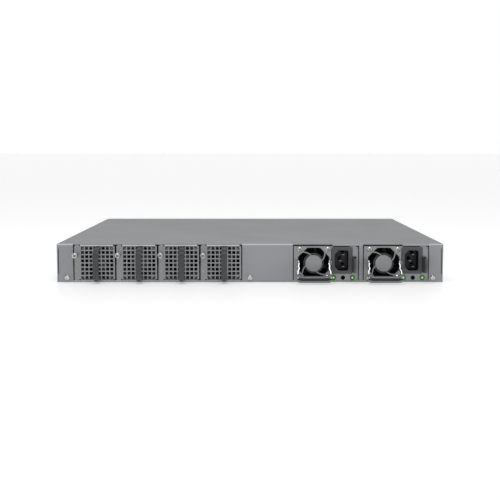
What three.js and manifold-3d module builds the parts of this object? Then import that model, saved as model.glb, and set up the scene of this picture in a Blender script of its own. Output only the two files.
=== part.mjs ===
// One-unit rackmount network switch, in millimetres, +Z up.
// The air-outlet side, with its four fan modules and two power supplies, faces -Y, and the ports face +Y.
// The origin is the middle of the footprint, on the surface that the switch lies on.

import * as THREE from "three";
import { mergeVertices } from "three/addons/utils/BufferGeometryUtils.js";
import Module from "manifold-3d";

const wasm = await Module();
wasm.setup();

// ---- Driving dimensions -------------------------------------------------------------------------

const BODY_WIDTH = 442;
const BODY_DEPTH = 400;
const BODY_HEIGHT = 44;
const HANDLE_REACH = 20;
const REAR_Y = (HANDLE_REACH - BODY_DEPTH) / 2;
const FRONT_Y = REAR_Y + BODY_DEPTH;

const TRAY_SHEET = 1.2;
const COVER_SHEET = 0.8;
const PANEL_SHEET = 1.2;
const FLANGE_SHEET = 0.8;
const RUNNING_GAP = 0.3;
const SEAM_GAP = 0.2;
const WELD = 0.1;

const SIDE_INNER = BODY_WIDTH / 2 - TRAY_SHEET;
const COVER_UNDER = BODY_HEIGHT - COVER_SHEET;
const FLOOR_TOP = TRAY_SHEET;
const BAY_FLOOR = FLOOR_TOP + FLANGE_SHEET;
const MODULE_BOTTOM = BAY_FLOOR + 0.1;

const FAN_BAY = { left: -202.4, right: -8.9 };
const FAN_COUNT = 4;
const FAN_PITCH = 48.2;
const FIRST_FAN_X = -201.5;

const SUPPLY_COUNT = 2;
const SUPPLY_PITCH = 80.1;
const SUPPLY_BAY = { left: 49.2, width: 75.5 };
const FIRST_SUPPLY_X = 50.2;

const REAR_SCREWS = { left: -209.6, middle: 0, right: 209.6 };
const REAR_SCREW_Z = 5.4;

const BOARD = { bottom: 6, sheet: 1.6 };
const BOARD_TOP = BOARD.bottom + BOARD.sheet;

// ---- Finishes -----------------------------------------------------------------------------------

const FINISH = {
  paint: { color: 0x8b8d8f, roughness: 0.5, metalness: 0.35 },
  zincSheet: { color: 0x9a9c9d, roughness: 0.4, metalness: 0.8 },
  nickel: { color: 0xc8c7c3, roughness: 0.25, metalness: 1 },
  darkPlastic: { color: 0x4d4e4f, roughness: 0.55, metalness: 0 },
  blackPlastic: { color: 0x1d1e1f, roughness: 0.5, metalness: 0 },
  board: { color: 0x1f4a36, roughness: 0.6, metalness: 0 },
  aluminium: { color: 0xa9abad, roughness: 0.35, metalness: 0.9 },
  greenLamp: { color: 0x76be6e, roughness: 0.3, metalness: 0 },
};

// ---- Solids: closed three.js meshes that can be joined and cut ----------------------------------

function solid(geometry) {
  const bare = geometry.clone();
  bare.deleteAttribute("normal");
  bare.deleteAttribute("uv");
  const welded = mergeVertices(bare);
  const vertProperties = Float32Array.from(welded.attributes.position.array);
  const triVerts = Uint32Array.from(welded.index.array);
  return new wasm.Manifold(new wasm.Mesh({ numProp: 3, vertProperties, triVerts }));
}

function geometryOf(body) {
  const { vertProperties, triVerts } = body.getMesh();
  const geometry = new THREE.BufferGeometry();
  geometry.setAttribute("position", new THREE.BufferAttribute(vertProperties, 3));
  geometry.setIndex(new THREE.BufferAttribute(triVerts, 1));
  geometry.computeVertexNormals();
  return geometry;
}

const join = (...bodies) => bodies.reduce((whole, body) => whole.add(body));

const cut = (body, ...tools) => tools.reduce((left, tool) => left.subtract(tool), body);

const range = (count) => Array.from({ length: count }, (_, index) => index);

function block([x0, x1], [y0, y1], [z0, z1]) {
  const box = new THREE.BoxGeometry(x1 - x0, y1 - y0, z1 - z0);
  return solid(box.translate((x0 + x1) / 2, (y0 + y1) / 2, (z0 + z1) / 2));
}

const turned = (profile, sides) => {
  const points = profile.map(([radius, height]) => new THREE.Vector2(radius, height));
  return new THREE.LatheGeometry(points, sides);
};

// A shape drawn on (x, z), filled from the nearer to the deeper y.
function plateY(shape, [y0, y1], curveSegments = 4) {
  const sheet = new THREE.ExtrudeGeometry(shape, { depth: y1 - y0, bevelEnabled: false, curveSegments });
  return solid(sheet.rotateX(Math.PI / 2).translate(0, y1, 0));
}

// A shape drawn on (y, z), filled along x.
function plateX(shape, [x0, x1], curveSegments = 4) {
  const sheet = new THREE.ExtrudeGeometry(shape, { depth: x1 - x0, bevelEnabled: false, curveSegments });
  const axes = new THREE.Matrix4().makeBasis(
    new THREE.Vector3(0, 1, 0),
    new THREE.Vector3(0, 0, 1),
    new THREE.Vector3(1, 0, 0),
  );
  return solid(sheet.applyMatrix4(axes).translate(x0, 0, 0));
}

// A shape drawn on (x, y), filled along z.
function plateZ(shape, [z0, z1], curveSegments = 4) {
  const sheet = new THREE.ExtrudeGeometry(shape, { depth: z1 - z0, bevelEnabled: false, curveSegments });
  return solid(sheet.translate(0, 0, z0));
}

function rodY(radius, x, z, [y0, y1], sides = 16) {
  const rod = new THREE.CylinderGeometry(radius, radius, y1 - y0, sides);
  return solid(rod.translate(x, (y0 + y1) / 2, z));
}

function rodX(radius, y, z, [x0, x1], sides = 12) {
  const rod = new THREE.CylinderGeometry(radius, radius, x1 - x0, sides);
  return solid(rod.rotateZ(Math.PI / 2).translate((x0 + x1) / 2, y, z));
}

function rodZ(radius, x, y, [z0, z1], sides = 12) {
  const rod = new THREE.CylinderGeometry(radius, radius, z1 - z0, sides);
  return solid(rod.rotateX(Math.PI / 2).translate(x, y, (z0 + z1) / 2));
}

const polygon = (points) => new THREE.Shape(points.map(([u, v]) => new THREE.Vector2(u, v)));

const rectangle = ([u0, u1], [v0, v1]) => polygon([[u0, v0], [u1, v0], [u1, v1], [u0, v1]]);

function roundedRectangle([u0, u1], [v0, v1], radius) {
  const shape = new THREE.Shape();
  shape.absarc(u1 - radius, v0 + radius, radius, -Math.PI / 2, 0);
  shape.absarc(u1 - radius, v1 - radius, radius, 0, Math.PI / 2);
  shape.absarc(u0 + radius, v1 - radius, radius, Math.PI / 2, Math.PI);
  shape.absarc(u0 + radius, v0 + radius, radius, Math.PI, 1.5 * Math.PI);
  shape.closePath();
  return shape;
}

const around = (middle, half) => [middle - half, middle + half];

function piece(name, finish, body) {
  const geometry = body.isBufferGeometry ? body : geometryOf(body);
  const mesh = new THREE.Mesh(geometry, new THREE.MeshStandardMaterial(FINISH[finish]));
  mesh.name = name;
  return mesh;
}

// ---- Chassis ------------------------------------------------------------------------------------

const BRACKET_HOLE = { radius: 2, fromPorts: [16, 46], fromFans: 26, z: [13, 31] };
const SCREW_HOLE_RADIUS = 1.7;
const SCREW_TAB = { half: 3, height: 8, footEnd: 16, footSheet: 1, heelSheet: 1.7 };
const REAR_FLANGE_DEPTH = 14;
const STANDOFF_RADIUS = 3;
const STANDOFF_SPOTS = [
  [-200, -95], [-80, -95], [30, -95], [-200, 40], [-60, 40], [60, 40], [200, 40],
  [-200, 190], [-60, 140], [80, 140], [205, 150],
];

// The upright tab behind each rear screw, with its foot on the tray's floor behind the rear panel's flange.
function screwTab(x) {
  const { half, height, footEnd, footSheet, heelSheet } = SCREW_TAB;
  const width = around(x, half);
  const behindPanel = REAR_Y + PANEL_SHEET;
  const end = REAR_Y + footEnd;
  const footTop = BAY_FLOOR + footSheet;
  const upright = block(width, [behindPanel, behindPanel + TRAY_SHEET], [BAY_FLOOR, BAY_FLOOR + height]);
  const foot = block(width, [behindPanel, end], [BAY_FLOOR, footTop]);
  const heel = block(width, [end - heelSheet, end], [FLOOR_TOP, footTop]);
  const hole = rodY(SCREW_HOLE_RADIUS, x, REAR_SCREW_Z, [behindPanel - 1, behindPanel + 3], 12);
  return cut(join(upright, foot, heel), hole);
}

function chassisTray() {
  const outer = block(around(0, BODY_WIDTH / 2), [REAR_Y, FRONT_Y], [0, COVER_UNDER]);
  const inner = block(around(0, SIDE_INNER), [REAR_Y - 1, FRONT_Y + 1], [FLOOR_TOP, BODY_HEIGHT]);
  const standing = [FLOOR_TOP - WELD, BOARD.bottom];
  const standoffs = STANDOFF_SPOTS.map(([x, y]) => rodZ(STANDOFF_RADIUS, x, y, standing, 6));
  const tabs = Object.values(REAR_SCREWS).map(screwTab);
  const rows = [...BRACKET_HOLE.fromPorts.map((y) => FRONT_Y - y), REAR_Y + BRACKET_HOLE.fromFans];
  const spots = rows.flatMap((y) => BRACKET_HOLE.z.map((z) => [y, z]));
  const across = around(0, BODY_WIDTH / 2 + 1);
  const drills = spots.map(([y, z]) => rodX(BRACKET_HOLE.radius, y, z, across, 6));
  return join(cut(outer, inner, ...drills), ...standoffs, ...tabs);
}

// The cover is one sheet with a lip down inside each side wall, and stands back a little above the bays.
function topCover() {
  const setBack = 0.6;
  const sheet = block(around(0, BODY_WIDTH / 2), [REAR_Y, FRONT_Y], [COVER_UNDER, BODY_HEIGHT]);
  const bays = [[FAN_BAY.left, FAN_BAY.right], ...range(SUPPLY_COUNT).map(supplyBay)];
  const edge = [REAR_Y - 1, REAR_Y + setBack];
  const notches = bays.map((x) => block(x, edge, [COVER_UNDER - 1, BODY_HEIGHT + 1]));
  const lip = { drop: 5, gap: 0.4, ends: 5 };
  const lips = [-1, 1].map((side) => {
    const x = around(side * (SIDE_INNER - lip.gap - COVER_SHEET / 2), COVER_SHEET / 2);
    return block(x, [REAR_Y + lip.ends, FRONT_Y - lip.ends], [COVER_UNDER - lip.drop, COVER_UNDER + WELD]);
  });
  return join(cut(sheet, ...notches), ...lips);
}

function supplyBay(index) {
  const left = SUPPLY_BAY.left + index * SUPPLY_PITCH;
  return [left, left + SUPPLY_BAY.width];
}

// The rear panel is a row of uprights on a flange that lies on the tray's floor. Above each inlet the
// upright beside the bay reaches over the bay as a narrow arm.
function rearPanel() {
  const edge = SIDE_INNER - 0.1;
  const seam = { half: 0.8, z: [8.7, 39] };
  const arm = { drop: 1.2, start: 45.3 };
  const thick = [REAR_Y, REAR_Y + PANEL_SHEET];
  const plate = block(around(0, edge), thick, [FLOOR_TOP, COVER_UNDER]);
  const flange = block(around(0, edge), [REAR_Y, REAR_Y + REAR_FLANGE_DEPTH], [FLOOR_TOP, BAY_FLOOR]);
  const through = [REAR_Y - 1, REAR_Y + PANEL_SHEET + 1];
  const fanWindow = block([FAN_BAY.left, FAN_BAY.right], through, [BAY_FLOOR, BODY_HEIGHT]);
  const supplyWindows = range(SUPPLY_COUNT).map((index) => {
    const [left, right] = supplyBay(index);
    const outline = polygon([
      [left, BAY_FLOOR],
      [right, BAY_FLOOR],
      [right, COVER_UNDER - arm.drop],
      [left + arm.start, COVER_UNDER - arm.drop],
      [left + arm.start, BODY_HEIGHT],
      [left, BODY_HEIGHT],
    ]);
    return plateY(outline, through);
  });
  const seams = [-1, 1].map((side) => block(around(side * edge, seam.half), through, seam.z));
  const screws = Object.values(REAR_SCREWS);
  const screwHoles = screws.map((x) => rodY(SCREW_HOLE_RADIUS, x, REAR_SCREW_Z, through, 12));
  return cut(join(plate, flange), fanWindow, ...supplyWindows, ...seams, ...screwHoles);
}

// A pan-head screw with a round driver recess, through the panel and its tab.
function rearScrew() {
  const recess = { radius: 1.1, floor: -1 };
  const head = { radius: 3, crown: -1.9 };
  const shank = { radius: 1.5, end: 5 };
  return turned([
    [0, recess.floor], [recess.radius, recess.floor], [recess.radius + 0.1, head.crown], [1.9, -1.8],
    [2.7, -1.2], [head.radius, -0.4], [head.radius, 0],
    [shank.radius, 0], [shank.radius, shank.end], [0, shank.end],
  ], 10);
}

// ---- Port side ----------------------------------------------------------------------------------

const CAGE_WALL = 1.2;
const CAGE_BACK = 2;
const CAGE_DEPTH = 47;
const SOCKET_ROWS = [[9.6, 18.8], [22.4, 31.6]];
const CAGE_TOP = 32.8;
const SMALL_SOCKET = { columns: 4, width: 13.8 };
const WIDE_SOCKET = { columns: 2, width: 18.8 };
const JACK = { columns: 2, width: 12, wall: 2, back: 4, top: 22.6, row: [10.4, 19.6], depth: 22 };
const JACK_CLIP = { inset: 3, height: 1.6 };
const CAGE_LEFT = { sfpRight: 36, sfpLeft: 102, qsfp: -22 };
const JACK_LEFT = 176;

const cageWidth = ({ columns, width }, wall) => columns * (width + wall) + wall;

function socketCage(kind, left) {
  const back = FRONT_Y - CAGE_DEPTH;
  const x = [left, left + cageWidth(kind, CAGE_WALL)];
  const shell = block(x, [back, FRONT_Y], [BOARD_TOP, CAGE_TOP]);
  const pockets = range(kind.columns).flatMap((column) => {
    const x0 = left + CAGE_WALL + column * (kind.width + CAGE_WALL);
    return SOCKET_ROWS.map((z) => block([x0, x0 + kind.width], [back + CAGE_BACK, FRONT_Y + 1], z));
  });
  return cut(shell, ...pockets);
}

// Two jacks side by side, each with the step above its mouth that the plug's clip runs in.
function managementJack() {
  const right = JACK_LEFT + cageWidth(JACK, JACK.wall);
  const shell = block([JACK_LEFT, right], [FRONT_Y - JACK.depth, FRONT_Y], [BOARD_TOP, JACK.top]);
  const mouths = range(JACK.columns).flatMap((column) => {
    const x0 = JACK_LEFT + JACK.wall + column * (JACK.width + JACK.wall);
    const depth = [FRONT_Y - JACK.depth + JACK.back, FRONT_Y + 1];
    const clipX = [x0 + JACK_CLIP.inset, x0 + JACK.width - JACK_CLIP.inset];
    const clip = block(clipX, depth, [JACK.row[1] - WELD, JACK.row[1] + JACK_CLIP.height]);
    return [block([x0, x0 + JACK.width], depth, JACK.row), clip];
  });
  return cut(shell, ...mouths);
}

function frontPanel() {
  const plate = block(around(0, SIDE_INNER), [FRONT_Y - PANEL_SHEET, FRONT_Y], [FLOOR_TOP, COVER_UNDER]);
  const through = [FRONT_Y - PANEL_SHEET - 1, FRONT_Y + 1];
  const windowFor = (left, width, top) => {
    const x = [left - RUNNING_GAP, left + width + RUNNING_GAP];
    return block(x, through, [BOARD_TOP - RUNNING_GAP, top + RUNNING_GAP]);
  };
  const smallWidth = cageWidth(SMALL_SOCKET, CAGE_WALL);
  const windows = [
    windowFor(CAGE_LEFT.sfpRight, smallWidth, CAGE_TOP),
    windowFor(CAGE_LEFT.sfpLeft, smallWidth, CAGE_TOP),
    windowFor(CAGE_LEFT.qsfp, cageWidth(WIDE_SOCKET, CAGE_WALL), CAGE_TOP),
    windowFor(JACK_LEFT, cageWidth(JACK, JACK.wall), JACK.top),
  ];
  const vents = { left: -206, columns: 18, pitch: 9.6, width: 5.6, z: [9, 36] };
  const slots = range(vents.columns).map((column) => {
    const x0 = vents.left + column * vents.pitch;
    return block([x0, x0 + vents.width], through, vents.z);
  });
  return cut(plate, ...windows, ...slots);
}

// ---- Inside -------------------------------------------------------------------------------------

const TONGUE = { left: 10, right: 63.5, z: [12, 13.6], length: 10 };
const TONGUE_SOCKET = { ends: 3, start: 1.5, depth: 15, top: 18, side: 0.5 };
const SUPPLY_LENGTH = 185;
const SUPPLY_END = REAR_Y + SUPPLY_LENGTH;

// The socket on the main board that takes one power supply's card edge.
function supplySocket(index) {
  const { ends, start, depth, top, side } = TONGUE_SOCKET;
  const origin = FIRST_SUPPLY_X + index * SUPPLY_PITCH;
  const [left, right] = [origin + TONGUE.left, origin + TONGUE.right];
  const y = [SUPPLY_END + start, SUPPLY_END + depth];
  const body = block([left - ends, right + ends], y, [BOARD_TOP - WELD, top]);
  const slotZ = [TONGUE.z[0] - RUNNING_GAP, TONGUE.z[1] + RUNNING_GAP];
  const slotY = [SUPPLY_END, SUPPLY_END + TONGUE.length + side];
  return cut(body, block([left - side, right + side], slotY, slotZ));
}

const CHIP = { x: [-46, 0], y: [66, 112], height: 3.4 };
const BOARD_EDGE = { x: 214, fans: -104, notch: 42, ports: 206 };
const BOARD_PARTS = [
  { name: "processor", x: [-150, -115], y: [20, 55], height: 2.4 },
  { name: "memory module", x: [-160, -90], y: [70, 76], height: 30 },
  { name: "memory module", x: [-160, -90], y: [84, 90], height: 30 },
  { name: "choke", x: [90, 104], y: [60, 90], height: 8 },
  { name: "choke", x: [116, 130], y: [60, 90], height: 8 },
  { name: "choke", x: [142, 156], y: [60, 90], height: 8 },
  { name: "capacitor", x: [-30, -14], y: [-60, -44], height: 10 },
  { name: "capacitor", x: [-6, 10], y: [-60, -44], height: 10 },
];

function mainBoard() {
  const { x, fans, notch, ports } = BOARD_EDGE;
  const beside = SUPPLY_END + 3;
  const outline = polygon([
    [-x, fans], [notch, fans], [notch, beside], [x, beside], [x, ports], [-x, ports],
  ]);
  const sheet = plateZ(outline, [BOARD.bottom, BOARD_TOP]);
  const parts = [CHIP, ...BOARD_PARTS].map((part) => {
    return block(part.x, part.y, [BOARD_TOP - WELD, BOARD_TOP + part.height]);
  });
  return join(sheet, ...parts, ...range(SUPPLY_COUNT).map(supplySocket));
}

function switchHeatSink() {
  const base = BOARD_TOP + CHIP.height;
  const overhang = 14;
  const plateSheet = 4;
  const fins = { count: 13, sheet: 1.4, top: 38 };
  const x = [CHIP.x[0] - overhang, CHIP.x[1] + overhang];
  const y = [CHIP.y[0] - overhang, CHIP.y[1] + overhang];
  const plate = block(x, y, [base, base + plateSheet]);
  const pitch = (x[1] - x[0] - fins.sheet) / (fins.count - 1);
  const blades = range(fins.count).map((index) => {
    const x0 = x[0] + index * pitch;
    return block([x0, x0 + fins.sheet], y, [base + plateSheet - WELD, fins.top]);
  });
  return join(plate, ...blades);
}

const FAN_BOARD_Y = [REAR_Y + 78, REAR_Y + 79.6];
const FAN_BOARD = { ends: 2, top: 40.5, windowHalf: 15, windowZ: [14, 36] };
const FAN_PLUG = { x: [20, 34], z: [4.5, 11.5], length: 4 };
const FAN_SOCKET = { wall: 1, depth: 3.4 };

function fanBoard() {
  const { ends, top, windowHalf, windowZ } = FAN_BOARD;
  const sheet = block([FAN_BAY.left + ends, FAN_BAY.right - ends], FAN_BOARD_Y, [FLOOR_TOP, top]);
  const fans = range(FAN_COUNT).map((index) => FIRST_FAN_X + index * FAN_PITCH);
  const throughBoard = [FAN_BOARD_Y[0] - 1, FAN_BOARD_Y[1] + 1];
  const windows = fans.map((x) => block(around(x + GRILLE.x, windowHalf), throughBoard, windowZ));
  const sockets = fans.map((x) => {
    const width = [x + FAN_PLUG.x[0] - FAN_SOCKET.wall, x + FAN_PLUG.x[1] + FAN_SOCKET.wall];
    return block(width, [FAN_BOARD_Y[0] - FAN_SOCKET.depth, FAN_BOARD_Y[0] + WELD], FAN_PLUG.z);
  });
  return join(cut(sheet, ...windows), ...sockets);
}

// A floor with one thin guide wall on each line between two fan modules.
function fanBayGuide() {
  const guide = { half: 0.35, start: 4, end: 77, top: 19, left: -0.45 };
  const floorY = [REAR_Y + REAR_FLANGE_DEPTH + SEAM_GAP, REAR_Y + guide.end];
  const floor = block([FAN_BAY.left + 0.05, FAN_BAY.right], floorY, [FLOOR_TOP, BAY_FLOOR]);
  const guides = range(FAN_COUNT + 1).map((index) => {
    const x = FIRST_FAN_X + guide.left + index * FAN_PITCH;
    return block(around(x, guide.half), [REAR_Y + guide.start, floorY[1]], [BAY_FLOOR - WELD, guide.top]);
  });
  const overFlange = block(around(0, SIDE_INNER), [REAR_Y, floorY[0]], [0, BAY_FLOOR]);
  return cut(join(floor, ...guides), overFlange);
}

function supplyBayCage() {
  const walls = { sheet: 0.8, left: 47.9, pitch: 78.7, start: 1.6, top: 42.6 };
  const floorY = [REAR_Y + REAR_FLANGE_DEPTH + SEAM_GAP, SUPPLY_END - 1];
  const right = walls.left + SUPPLY_COUNT * walls.pitch + walls.sheet;
  const floor = block([walls.left, right], floorY, [FLOOR_TOP, BAY_FLOOR]);
  const uprights = range(SUPPLY_COUNT + 1).map((index) => {
    const x0 = walls.left + index * walls.pitch;
    const y = [REAR_Y + walls.start, floorY[1]];
    return block([x0, x0 + walls.sheet], y, [BAY_FLOOR - WELD, walls.top]);
  });
  const overFlange = block(around(0, SIDE_INNER), [REAR_Y, floorY[0]], [0, BAY_FLOOR]);
  return cut(join(floor, ...uprights), overFlange);
}

// ---- Axial fans ---------------------------------------------------------------------------------

const FAN_BORE = 18.1;
const FAN_TIP = 17.4;
const FAN_HUB = 9.6;
const FAN_DEPTH = 28;
const FAN_BLADES = 5;
const FAN_SIDES = 16;
const FAN_SCREW_SPACING = 32;

// A square frame with a round duct: two flanges, a waist between them, and a motor plate on four struts.
function fanFrame(size) {
  const half = size / 2;
  const flange = { corner: 3, depth: 3.6 };
  const screwHole = 1.8;
  const plateDepth = 2.4;
  const square = roundedRectangle(around(0, half), around(0, half), flange.corner);
  const ends = [[0, flange.depth], [FAN_DEPTH - flange.depth, FAN_DEPTH]];
  const flanges = ends.map((y) => plateY(square, y, 1));
  const waist = rodY(half - 0.15, 0, 0, [1, FAN_DEPTH - 1], FAN_SIDES);
  const bore = rodY(FAN_BORE, 0, 0, [-1, FAN_DEPTH + 1], FAN_SIDES);
  const screwAt = FAN_SCREW_SPACING / 2;
  const corners = [[-1, -1], [1, -1], [1, 1], [-1, 1]];
  const drill = [-1, flange.depth + 1];
  const holes = corners.map(([u, v]) => rodY(screwHole, u * screwAt, v * screwAt, drill, 6));
  const plate = rodY(FAN_HUB + 0.6, 0, 0, [0, plateDepth], FAN_SIDES);
  const strut = { width: 1.8, depth: 2, reach: FAN_BORE + 0.6, turn: 0.28 };
  const struts = range(4).map((index) => {
    const bar = new THREE.BoxGeometry(strut.reach, strut.depth, strut.width);
    const turn = ((index + strut.turn) * Math.PI) / 2;
    return solid(bar.translate(strut.reach / 2, strut.depth / 2, 0).rotateY(turn));
  });
  return join(cut(join(...flanges, waist), bore, ...holes), plate, ...struts);
}

// One blade: a cambered section drawn on (tangent, axis), carried outwards along the radius.
function fanBlade() {
  const section = new THREE.Shape();
  section.moveTo(-6.2, 9);
  section.quadraticCurveTo(-2.6, -3.2, 6.4, -9);
  section.lineTo(7.0, -8.3);
  section.quadraticCurveTo(-0.8, -2.2, -5.1, 9.2);
  section.closePath();
  const blade = new THREE.ExtrudeGeometry(section, { depth: 12, bevelEnabled: false, curveSegments: 2 });
  const axes = new THREE.Matrix4().makeBasis(
    new THREE.Vector3(0, 0, -1),
    new THREE.Vector3(0, 1, 0),
    new THREE.Vector3(1, 0, 0),
  );
  return blade.applyMatrix4(axes).translate(FAN_HUB - 2, 0, 0);
}

function fanRotor() {
  const start = 3.1;
  const end = FAN_DEPTH - 1.4;
  const rim = 1.2;
  const cup = [[0, start], [FAN_HUB, start], [FAN_HUB, end - rim], [FAN_HUB - rim, end], [0, end]];
  const hub = solid(turned(cup, FAN_SIDES));
  const middle = (start + end) / 2;
  const tips = rodY(FAN_TIP, 0, 0, [start, end], FAN_SIDES);
  const blades = range(FAN_BLADES).map((index) => {
    const turn = (index * 2 * Math.PI) / FAN_BLADES;
    return solid(fanBlade().rotateY(turn).translate(0, middle, 0));
  });
  return join(hub, join(...blades).intersect(tips));
}

// ---- Fan module: sheet-metal tray, handle, captive screw, fan, rotor, lamp ----------------------

const FAN_TRAY = { width: 47.3, bottom: MODULE_BOTTOM, top: 43, length: 70 };
const GRILLE = { x: 27.35, z: 22.2, pitchX: 4.75, pitchZ: 4.8, hole: 3.4, count: 8, corner: 1.4 };
const FLANGE_X = [9, 45.6];
const TRAY_NOTCH = { height: 1.3, width: 1.6, cornerWidth: 1.2 };
const TRAY_VENT = { x: [13, 41.6], depth: [38, 62], backZ: [14, 38] };
const STRIP_X = 3.85;
const FAN_SCREW_Z = 32.5;
const FAN_LAMP_Z = 12.6;
const LAMP_HOLE_RADIUS = 1.2;
const FAN_SIZE = 38.6;
const FAN_START = 3.5;

// The face's outline: notches at the bends, where the top and bottom flanges turn inwards.
function trayOutline() {
  const { width, bottom, top } = FAN_TRAY;
  const [left, right] = FLANGE_X;
  const outside = left - TRAY_NOTCH.width;
  const low = bottom + TRAY_NOTCH.height;
  const high = top - TRAY_NOTCH.height;
  return polygon([
    [0, bottom], [outside, bottom], [outside, low], [left, low], [left, bottom],
    [right, bottom], [right, low], [width, low],
    [width, high], [right, high], [right, top],
    [left, top], [left, high], [outside, high], [outside, top],
    [TRAY_NOTCH.cornerWidth, top], [TRAY_NOTCH.cornerWidth, high], [0, high],
  ]);
}

// The grille: a round-cornered window in the face, crossed by upright and level bars of even pitch.
function grilleWindow(overlap) {
  const halfX = ((GRILLE.count - 1) * GRILLE.pitchX + GRILLE.hole) / 2 + overlap;
  const halfZ = ((GRILLE.count - 1) * GRILLE.pitchZ + GRILLE.hole) / 2 + overlap;
  return [around(GRILLE.x, halfX), around(GRILLE.z, halfZ)];
}

function grilleBars() {
  const [x, z] = grilleWindow(0.2);
  const offsets = range(GRILLE.count - 1).map((index) => index + 1 - GRILLE.count / 2);
  const uprights = offsets.map((offset) => {
    const width = around(GRILLE.x + offset * GRILLE.pitchX, (GRILLE.pitchX - GRILLE.hole) / 2);
    return block(width, [0, PANEL_SHEET], z);
  });
  const levels = offsets.map((offset) => {
    const height = around(GRILLE.z + offset * GRILLE.pitchZ, (GRILLE.pitchZ - GRILLE.hole) / 2);
    return block(x, [0, PANEL_SHEET], height);
  });
  return join(...uprights, ...levels);
}

function fanTray() {
  const { bottom, top, length } = FAN_TRAY;
  const face = trayOutline();
  const [windowX, windowZ] = grilleWindow(0);
  face.holes = [roundedRectangle(windowX, windowZ, GRILLE.corner)];
  const holes = [
    rodY(SCREW_HOLE_RADIUS, STRIP_X, FAN_SCREW_Z, [-1, 3], 8),
    rodY(LAMP_HOLE_RADIUS, STRIP_X, FAN_LAMP_Z, [-1, 3], 6),
  ];
  const plate = cut(join(plateY(face, [0, PANEL_SHEET], 3), grilleBars()), ...holes);
  const shelves = [[bottom, bottom + FLANGE_SHEET], [top - FLANGE_SHEET, top]].map((z) => {
    const outline = rectangle(FLANGE_X, [0.5, length]);
    outline.holes = [rectangle(TRAY_VENT.x, TRAY_VENT.depth)];
    return plateZ(outline, z);
  });
  const back = rectangle(FLANGE_X, [bottom, top]);
  back.holes = [rectangle(TRAY_VENT.x, TRAY_VENT.backZ)];
  const plug = block(FAN_PLUG.x, [length - 0.5, length + FAN_PLUG.length], FAN_PLUG.z);
  return join(plate, ...shelves, plateY(back, [length - FLANGE_SHEET, length]), plug);
}

// The handle is a strap bent into a loop: a sloping upper arm, a straight front and a lower arm that
// bulges down into a rounded lip.
const STRAP = { width: 6.6, thick: 3.2, top: 41.2, low: 3.2, fall: 1.7, shoulder: 3.4, knee: 5, lip: 1 };

function strapOutline() {
  const { thick, top, low, fall, shoulder, knee, lip } = STRAP;
  const out = -HANDLE_REACH;
  const inside = out + thick;
  const armEnd = out + knee + 1;
  const armTop = top - fall;
  const armUnder = armTop - thick;
  const bend = top - shoulder - knee;
  const loop = new THREE.Shape();
  loop.moveTo(0, top);
  loop.lineTo(armEnd, armTop);
  loop.quadraticCurveTo(out, armTop, out, bend);
  loop.lineTo(out, low + knee);
  loop.quadraticCurveTo(out, low, out + knee, low - lip / 2);
  loop.lineTo(-4 * lip, low - lip);
  loop.quadraticCurveTo(-lip, low - lip, 0, low);
  loop.lineTo(0, low + thick);
  loop.lineTo(armEnd, low + thick);
  loop.quadraticCurveTo(inside, low + thick, inside, low + knee + 2);
  loop.lineTo(inside, bend - 1);
  loop.quadraticCurveTo(inside, armUnder, armEnd + 1, armUnder);
  loop.lineTo(0, top - thick - lip / 2);
  loop.closePath();
  return loop;
}

const fanHandle = () => plateX(strapOutline(), around(GRILLE.x, STRAP.width / 2), 5);

// The captive screw: a knob with a dished face on a neck, its ferrule against the face, its stem behind.
function fanScrew() {
  const knob = { radius: 3.15, front: -18, back: -10.2, dish: 1, edge: 0.4 };
  const neck = 2.1;
  const ferrule = { radius: 2.7, front: -2.9 };
  const stem = { radius: 1.4, end: 9.4, tip: 0.8 };
  return turned([
    [0, knob.front + knob.dish], [1.5, knob.front + knob.dish], [1.9, knob.front],
    [knob.radius - knob.edge, knob.front], [knob.radius, knob.front + knob.edge],
    [knob.radius, knob.back - knob.edge], [knob.radius - knob.edge, knob.back], [neck, knob.back],
    [neck, ferrule.front - RUNNING_GAP], [ferrule.radius, ferrule.front],
    [ferrule.radius, -RUNNING_GAP], [stem.radius, -RUNNING_GAP],
    [stem.radius, stem.end - stem.tip], [1, stem.end], [0, stem.end],
  ], 8);
}

const fanLamp = () => turned([[0, -0.8], [0.6, -0.65], [1, -0.2], [1, 5], [0, 5]], 6);

function at(mesh, x, y, z) {
  mesh.position.set(x, y, z);
  return mesh;
}

function fanModule(index) {
  const number = index + 1;
  const group = new THREE.Group();
  const fanZ = (FAN_TRAY.bottom + FAN_TRAY.top) / 2;
  group.add(
    piece(`fan_tray_${number}`, "paint", fanTray()),
    piece(`fan_handle_${number}`, "darkPlastic", fanHandle()),
    at(piece(`fan_screw_${number}`, "nickel", fanScrew()), STRIP_X, 0, FAN_SCREW_Z),
    at(piece(`fan_frame_${number}`, "blackPlastic", fanFrame(FAN_SIZE)), GRILLE.x, FAN_START, fanZ),
    at(piece(`fan_rotor_${number}`, "blackPlastic", fanRotor()), GRILLE.x, FAN_START, fanZ),
    at(piece(`fan_lamp_${number}`, "greenLamp", fanLamp()), STRIP_X, 0, FAN_LAMP_Z),
  );
  group.position.set(FIRST_FAN_X + index * FAN_PITCH, REAR_Y, 0);
  return group;
}

// ---- Power supply: case, fan guard, fan, rotor, inlet, bail handle, latch, lamps, card edge -----

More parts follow.
